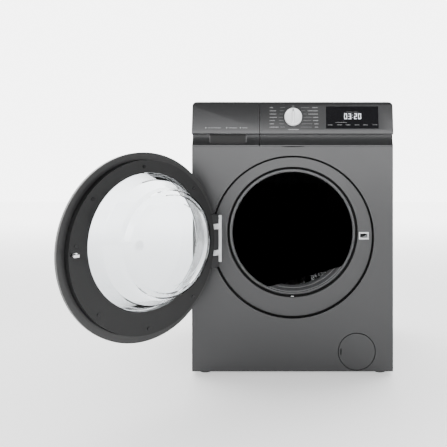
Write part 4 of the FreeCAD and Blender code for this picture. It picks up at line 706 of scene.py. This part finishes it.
class WASHER_OT_panel(bpy.types.Operator):
    """Round the control panel and drawer front"""

    bl_idname = "washer.panel"
    bl_label = "Control panel"

    def execute(self, context):
        s = sizes()
        softened("control_fascia", s.moulded_edge, "fascia", angle=25)
        softened("drawer_front", s.moulded_edge, "drawer", angle=25)
        return {"FINISHED"}


class WASHER_OT_knob(bpy.types.Operator):
    """Make the programme knob with its grip and pointer"""

    bl_idname = "washer.knob"
    bl_label = "Programme knob"

    def execute(self, context):
        place = panel_place(KNOB_X, KNOB_Z)
        upright = place @ Matrix.Rotation(-math.pi / 2, 4, "X")
        profile = [(-0.5, 0), (-0.5, 25.5), (-1.2, 26.3), (-3, 26.5), (-14, 25.4), (-15.6, 24.6),
                   (-16.4, 23.2),
                   (-15.8, 21.5), (-14.6, 20), (-13.8, 16), (-13.5, 0)]
        skirt = spun("knob_skirt", profile, "knob", "knob", steps=96, place=upright)
        bm = bmesh.new()
        grip = block(bm, place, (-0.0042, -0.0225, 0.012), (0.0042, 0.0225, 0.0215))
        top = [v for v in grip if (place.inverted() @ v.co).z > 0.02]
        for v in top:
            own = place.inverted() @ v.co
            own.x *= 0.62
            own.y *= 0.93
            v.co = place @ own
        bmesh.ops.bevel(
            bm, geom=bm.edges[:], offset=0.0018, offset_type="OFFSET", affect="EDGES", segments=3,
            profile=0.5, material=-1
        )
        new_piece("knob_grip", bm, "knob", "knob")
        bm = bmesh.new()
        block(bm, place, (-0.0009, 0.0125, 0.0214), (0.0009, 0.0205, 0.0219))
        new_piece("knob_pointer", bm, "black", "knob")
        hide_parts("programme_knob")
        # A black bead ring round the knob's base; its black is painted shadow where the knob meets the
        # panel.
        seat_shade_profile = [(0.0, 27.2), (-1.6, 27.4), (-2.2, 28.2), (-1.8, 29.6), (0.3, 30.4), (0.3, 27.2)]
        spun("knob_seat_shade", seat_shade_profile, "black", "cabinet", steps=96, place=upright)
        return {"FINISHED"}


LABEL_ROWS = (
    (-0.070, (0.009, 0.018, 0.019, 0.020, 0.014, 0.012, 0.026)),
    (0.0375, (0.016, 0.030, 0.028, 0.014, 0.014, 0.010, 0.009)),
)
SEGMENTS = {
    "0": "abcdef", "2": "abged", "3": "abgcd",
}


class WASHER_OT_marks(bpy.types.Operator):
    """Print the panel's marks and light the display"""

    bl_idname = "washer.marks"
    bl_label = "Panel marks"

    def word(self, bm, x, z, length, height):
        """A row of short strokes that stands for a printed word."""
        at = x
        stroke = height * 0.62
        turn = 0
        while at < x + length:
            width = stroke * (0.7, 1.0, 0.8, 1.1, 0.6)[turn % 5]
            tall = height * (1.0, 0.72, 0.72, 1.0, 0.72)[(turn * 2) % 5]
            place = panel_place(at, z)
            block(bm, place, (0, -height / 2, PRINT_LOW), (width * 0.72, tall - height / 2, PRINT_HIGH))
            at += width
            turn += 1

    def execute(self, context):
        bm = bmesh.new()
        for side, (start, lengths) in enumerate(LABEL_ROWS):
            for row, length in enumerate(lengths):
                z = KNOB_Z + 0.0005 + (3 - row) * LABEL_STEP
                x = KNOB_X + start
                self.word(bm, x + (0 if side == 0 else 0.036 - length), z, length, 0.0024)
                spread = (3 - row) * 0.0036
                near = KNOB_X + (-0.044 if side == 0 else 0.028) + (
                    abs(spread) * 0.5 if side == 0 else -abs(spread) * 0.5
                )
                tick = 0.014 if side == 0 else 0.042 - length
                block(bm, panel_place(near, z), (0, -0.0002, PRINT_LOW), (tick, 0.0002, PRINT_HIGH))
        self.word(bm, KNOB_X - 0.014, KNOB_Z - 0.0365, 0.030, 0.0022)
        block(
            bm,
            panel_place(KNOB_X, KNOB_Z + 0.0345),
            (-0.003, -0.0005, PRINT_LOW),
            (0.003, 0.0005, PRINT_HIGH),
        )
        new_piece("panel_marks", bm, "ink", "cabinet")

        bm = bmesh.new()
        for x, length in ((-0.258, 0.044), (-0.196, 0.030), (-0.155, 0.020)):
            self.word(bm, x + 0.006, DRAWER_MARKS_Z, length - 0.006, 0.0020)
            disc(bm, panel_place(x, DRAWER_MARKS_Z), 0.0019, PRINT_LOW, PRINT_HIGH, 20)
        new_piece("drawer_marks", bm, "ink", "drawer")

        bm = bmesh.new()
        for x in KEYS_X:
            self.word(bm, x - 0.007, WINDOW_Z - 0.0225, 0.014, 0.0014)
        self.word(bm, WINDOW_LOW.x + 0.028, WINDOW_Z - 0.0150, 0.034, 0.0010)
        self.word(bm, WINDOW_LOW.x + 0.060, WINDOW_Z + 0.0165, 0.034, 0.0008)
        new_piece("key_marks", bm, "ink", "cabinet")

        bm = bmesh.new()
        at = DIGITS_X
        for figure in "03:20":
            tall, wide, thick = 0.0165, 0.0078, 0.0013
            place = panel_place(at, WINDOW_Z + 0.0035)
            if figure == ":":
                for level in (-0.0035, 0.0035):
                    block(bm, place, (0, level - thick / 2, 0), (thick, level + thick / 2, 0.00025))
                at += COLON_STEP
                continue
            bars = {
                "a": ((0, tall / 2 - thick), (wide, tall / 2)),
                "g": ((0, -thick / 2), (wide, thick / 2)),
                "d": ((0, -tall / 2), (wide, thick - tall / 2)),
                "f": ((0, 0), (thick, tall / 2)),
                "b": ((wide - thick, 0), (wide, tall / 2)),
                "e": ((0, -tall / 2), (thick, 0)),
                "c": ((wide - thick, -tall / 2), (wide, 0)),
            }
            for letter in SEGMENTS[figure]:
                low, high = bars[letter]
                block(bm, place, (*low, 0), (*high, 0.00025))
            at += DIGIT_STEP
        new_piece("display_digits", bm, "digits", "cabinet")
        return {"FINISHED"}


class WASHER_OT_door(bpy.types.Operator):
    """Round the door's mouldings, its hinge bracket and its lock"""

    bl_idname = "washer.door"
    bl_label = "Door"

    def execute(self, context):
        s = sizes()
        softened("door_outer_ring", s.moulded_edge, "ring_front")
        softened("door_inner_frame", s.moulded_edge * 1.3, "ring")
        softened("hinge_bracket", s.moulded_edge * 0.6, "bracket")
        softened("door_lock", s.moulded_edge * 0.4, "lock", segments=2)
        return {"FINISHED"}


class WASHER_OT_seal(bpy.types.Operator):
    """Make the door seal with its folds"""

    bl_idname = "washer.seal"
    bl_label = "Door seal"

    def execute(self, context):
        profile = [
            (-262, 195.6), (-263.5, 194.6), (-264, 193), (-263, 190.4), (-260.6, 188.8), (-258, 188),
            (-255.2, 188.4),
            (-254, 186.6), (-254.4, 185.2), (-252.6, 184), (-248.4, 183), (-245.6, 183.8), (-244.4, 182),
            (-244.8, 180.6),
            (-243, 179.6), (-236, 176.4), (-229, 172.8), (-226.4, 173.2), (-225, 171.6), (-225.4, 170.2),
            (-222, 168.6), (-216, 166.2), (-212.6, 165.3), (-209, 165.6), (-206.2, 168),
            (-204, 174), (-198, 190), (-194, 200), (-190.7, 206), (-190.7, 208.3), (-178.5, 208.4),
            (-178.5, 212.3),
            (-194, 212.3), (-196.6, 207), (-199.5, 200), (-205, 186), (-209, 174.6), (-211.4, 171.4),
            (-214, 172.4),
            (-224, 178.8), (-236, 185.6), (-245, 190.2), (-250, 195.5),
        ]
        seal = spun(
            "seal_rubber",
            profile,
            "seal",
            "cabinet",
            centre=(0, AXIS_Z),
            steps=192,
            sharp=70,
        )
        for v in seal.data.vertices:
            v.co.z -= 0.005 * smooth(v.co.y, -0.262, -0.215) * (1 - smooth(v.co.y, -0.212, -0.2))
        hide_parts("door_seal")
        # Near-black ring where the seal meets the panel: partly the seal's clamp band, partly painted shade
        # in the groove between panel and seal.
        clamp_and_shade = [(-264.2, 195.7), (-266.6, 195.4), (-267.4, 194), (-267.4, 191.2), (-266.4, 189.6),
                 (-264.2, 189.2),
                 (-261, 189.4), (-261, 195.7)]
        spun("seal_clamp_shade", clamp_and_shade, "painted_shade", "cabinet", centre=(0, AXIS_Z), steps=192)
        # A near-black ring on the recess floor at its outer step: painted shadow in the gap at the step.
        shadow_ring_profile = [
            (-265.8, 243.8), (-267.4, 243.8), (-267.7, 243.2), (-267.7, 238.6), (-267.4, 238), (-265.8, 238)
        ]
        spun("recess_shadow_ring", shadow_ring_profile, "painted_shade", "cabinet", centre=(0, DOOR_Z), steps=224)
        bm = bmesh.new()
        for i in range(7):
            place = Matrix.Translation(
                ((i - 3) * 0.0011, -0.2678, AXIS_Z - 0.1925)
            ) @ Matrix.Rotation(math.pi / 2, 4, "Y")
            disc(bm, place, 0.0018, -0.0004, 0.0004, 16)
        new_piece("seal_spring", bm, "zinc", "cabinet")
        return {"FINISHED"}


class WASHER_OT_drum(bpy.types.Operator):
    """Press the drum's star and dome its hub"""

    bl_idname = "washer.drum"
    bl_label = "Drum"

    def level(self, x, z):
        """How far the pressing stands behind the star's face, in metres."""
        reach = math.hypot(x, z)
        sink = 0.0
        for turn in (90, 210, 330):
            way = (math.cos(math.radians(turn)), math.sin(math.radians(turn)))
            step = STAR_ROUND - math.hypot(x - STAR_PITCH * way[0], z - STAR_PITCH * way[1])
            lens = LENS_ROUND - math.hypot(x - LENS_PITCH * way[0], z - LENS_PITCH * way[1])
            if step > -0.004:
                cove = 0.003 * smooth(step, -0.002, 0.004) + 0.013 * smooth(step, 0.002, 0.042)
                bead = 0.0045 * math.exp(-((lens + 0.0035) / 0.004) ** 2)
                pan = 0.004 * smooth(lens, 0.0, 0.006) - 0.010 * smooth(lens, 0.004, 0.13)
                sink = max(sink, cove - bead + pan)
        for turn in (270, 30, 150):
            along = x * math.cos(math.radians(turn)) + z * math.sin(math.radians(turn))
            aside = abs(z * math.cos(math.radians(turn)) - x * math.sin(math.radians(turn)))
            if along > 0.05:
                half = 0.005 + (along - 0.05) * 0.15
                sink = max(sink, 0.012 * smooth(half - aside, -0.001, 0.02) * smooth(along, 0.05, 0.07))
        return sink + 0.010 * smooth(reach, 0.06, 0.2) * 0.4 + 0.005 * (1 - smooth(reach, 0.045, 0.062))

    def execute(self, context):
        face = DRUM_LOW.y
        bm = bmesh.new()
        rings = [0.02 + i * 0.00205 for i in range(111)]
        verts = [bm.verts.new((0, 0, r)) for r in rings]
        edges = [bm.edges.new(pair) for pair in zip(verts, verts[1:])]
        bmesh.ops.spin(
            bm, geom=verts + edges, cent=(0, 0, 0), axis=(0, 1, 0), angle=math.tau, steps=360,
            use_merge=True
        )
        for v in bm.verts:
            v.co.y = face + self.level(v.co.x, v.co.z)
            v.co.z += AXIS_Z
        bmesh.ops.remove_doubles(bm, verts=bm.verts, dist=1e-6)
        bmesh.ops.solidify(bm, geom=bm.faces[:], thickness=-0.0008)
        star = new_piece("drum_star", bm, "drum_back", "drum", sharp=80)
        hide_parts("drum_back")
        softened("drum_lifters", 0.006, "lifter", segments=4)
        y = HUB_HIGH.y / MM
        dome = [(y, 40), (y, 50.6), (y - 2, 50.2), (y - 6, 47.5), (y - 10, 41), (y - 12.4, 33),
                (y - 13.2, 28.4), (y - 12, 27.4),
                (y - 11, 27), (y - 4, 27), (y - 4, 40)]
        cover = spun("hub_cover", dome, "hub_dark", "drum", centre=(0, AXIS_Z), steps=96)
        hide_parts("hub_cap")
        disc_profile = [
            (y - 6, 0), (y - 6, 26.8), (y - 13.4, 26.8), (y - 14.4, 25.8), (y - 14.7, 24), (y - 14.7, 0)
        ]
        spun("hub_disc", disc_profile, "chrome", "drum", centre=(0, AXIS_Z), steps=96)
        return {"FINISHED"}


class WASHER_OT_studio(bpy.types.Operator):
    """Set the floor, the lights and the camera"""

    bl_idname = "washer.studio"
    bl_label = "Studio"

    def execute(self, context):
        s = sizes()
        scene = context.scene
        bm = bmesh.new()
        bmesh.ops.create_grid(bm, x_segments=1, y_segments=1, size=12)
        mesh = bpy.data.meshes.new("floor")
        bm.to_mesh(mesh)
        bm.free()
        floor = bpy.data.objects.new("floor", mesh)
        scene.collection.objects.link(floor)
        floor.location.z = -0.0005
        pale = Finish(
            "pale floor", (0.92, 0.92, 0.92), 0.9, Specular_IOR_Level=0.1, Emission_Strength=s.floor_glow
        )
        _, depth, _ = pale.across()
        pale.feed("Emission Color", pale.blend(depth.within(0.2, 6.0), (1, 1, 1, 1), (6, 6, 6, 1)))
        floor.data.materials.append(pale.material)

        world = bpy.data.worlds.new("studio air")
        world.use_nodes = True
        tree = world.node_tree
        way = tree.nodes.new("ShaderNodeTexCoord")
        parts = tree.nodes.new("ShaderNodeSeparateXYZ")
        ramp = tree.nodes.new("ShaderNodeMapRange")
        ramp.interpolation_type = "SMOOTHSTEP"
        tree.links.new(way.outputs["Generated"], parts.inputs[0])
        tree.links.new(parts.outputs["Y"], ramp.inputs["Value"])
        for name, value in (
            ("From Min", -0.1), ("From Max", 0.55), ("To Min", s.front_air), ("To Max", s.back_air)
        ):
            ramp.inputs[name].default_value = value
        tree.nodes["Background"].inputs[0].default_value = (1, 1, 1, 1)
        tree.links.new(ramp.outputs[0], tree.nodes["Background"].inputs[1])
        scene.world = world

        def lamp(name, place, aim, size, power):
            data = bpy.data.lights.new(name, "AREA")
            data.shape = "RECTANGLE"
            data.size, data.size_y = size
            data.energy = power
            thing = bpy.data.objects.new(name, data)
            thing.location = place
            thing.rotation_euler = (Vector(aim) - Vector(place)).to_track_quat("-Z", "Y").to_euler()
            scene.collection.objects.link(thing)

        lamp("front light", (0.0, -2.9, 1.0), (0, -0.28, 0.6), (3.8, 0.9), 84)
        lamp("low light", (0.0, -2.7, 0.20), (0, 0, 0.42), (0.22, 0.2), 1.6)
        lamp("left light", (-2.4, -1.4, 1.0), (0, 0, 0.45), (0.4, 1.6), 5)
        lamp("right light", (1.9, -1.9, 0.75), (0, -0.1, 0.45), (0.25, 1.0), 7)

        data = bpy.data.cameras.new("front camera")
        data.sensor_width = SENSOR
        data.lens = SENSOR * s.camera_distance / VIEW_WIDTH
        data.shift_x = (VIEW_X - CAMERA_X) / VIEW_WIDTH
        data.shift_y = (VIEW_Z - s.camera_height) / VIEW_WIDTH
        camera = bpy.data.objects.new("front camera", data)
        camera.location = (CAMERA_X, FRONT - s.camera_distance, s.camera_height)
        camera.rotation_euler = (math.pi / 2, 0, 0)
        scene.collection.objects.link(camera)
        scene.camera = camera
        return {"FINISHED"}


class WASHER_PT_panel(bpy.types.Panel):
    """Shows the machine's colours and sizes, and a button for each step"""

    bl_idname = "WASHER_PT_panel"
    bl_label = "Front Load Washer"
    bl_space_type = "VIEW_3D"
    bl_region_type = "UI"
    bl_category = "Washer"

    def draw(self, context):
        column = self.layout.column()
        for group in (context.scene.washer_colours, context.scene.washer_sizes):
            for name in group.bl_rna.properties.keys():
                if name not in ("rna_type", "name"):
                    column.prop(group, name)
        for operator in OPERATORS:
            column.operator(operator.bl_idname)


OPERATORS = (
    WASHER_OT_studio,
    WASHER_OT_finishes,
    WASHER_OT_cabinet,
    WASHER_OT_panel,
    WASHER_OT_knob,
    WASHER_OT_marks,
    WASHER_OT_door,
    WASHER_OT_seal,
    WASHER_OT_drum,
)
CLASSES = (WasherColours, WasherSizes, *OPERATORS, WASHER_PT_panel)


def register():
    for cls in CLASSES:
        bpy.utils.register_class(cls)
    bpy.types.Scene.washer_colours = bpy.props.PointerProperty(type=WasherColours)
    bpy.types.Scene.washer_sizes = bpy.props.PointerProperty(type=WasherSizes)


def unregister():
    del bpy.types.Scene.washer_sizes
    del bpy.types.Scene.washer_colours
    for cls in reversed(CLASSES):
        bpy.utils.unregister_class(cls)


def main():
    register()
    for operator in OPERATORS:
        group, name = operator.bl_idname.split(".")
        getattr(getattr(bpy.ops, group), name)()


if __name__ == "__main__":
    main()
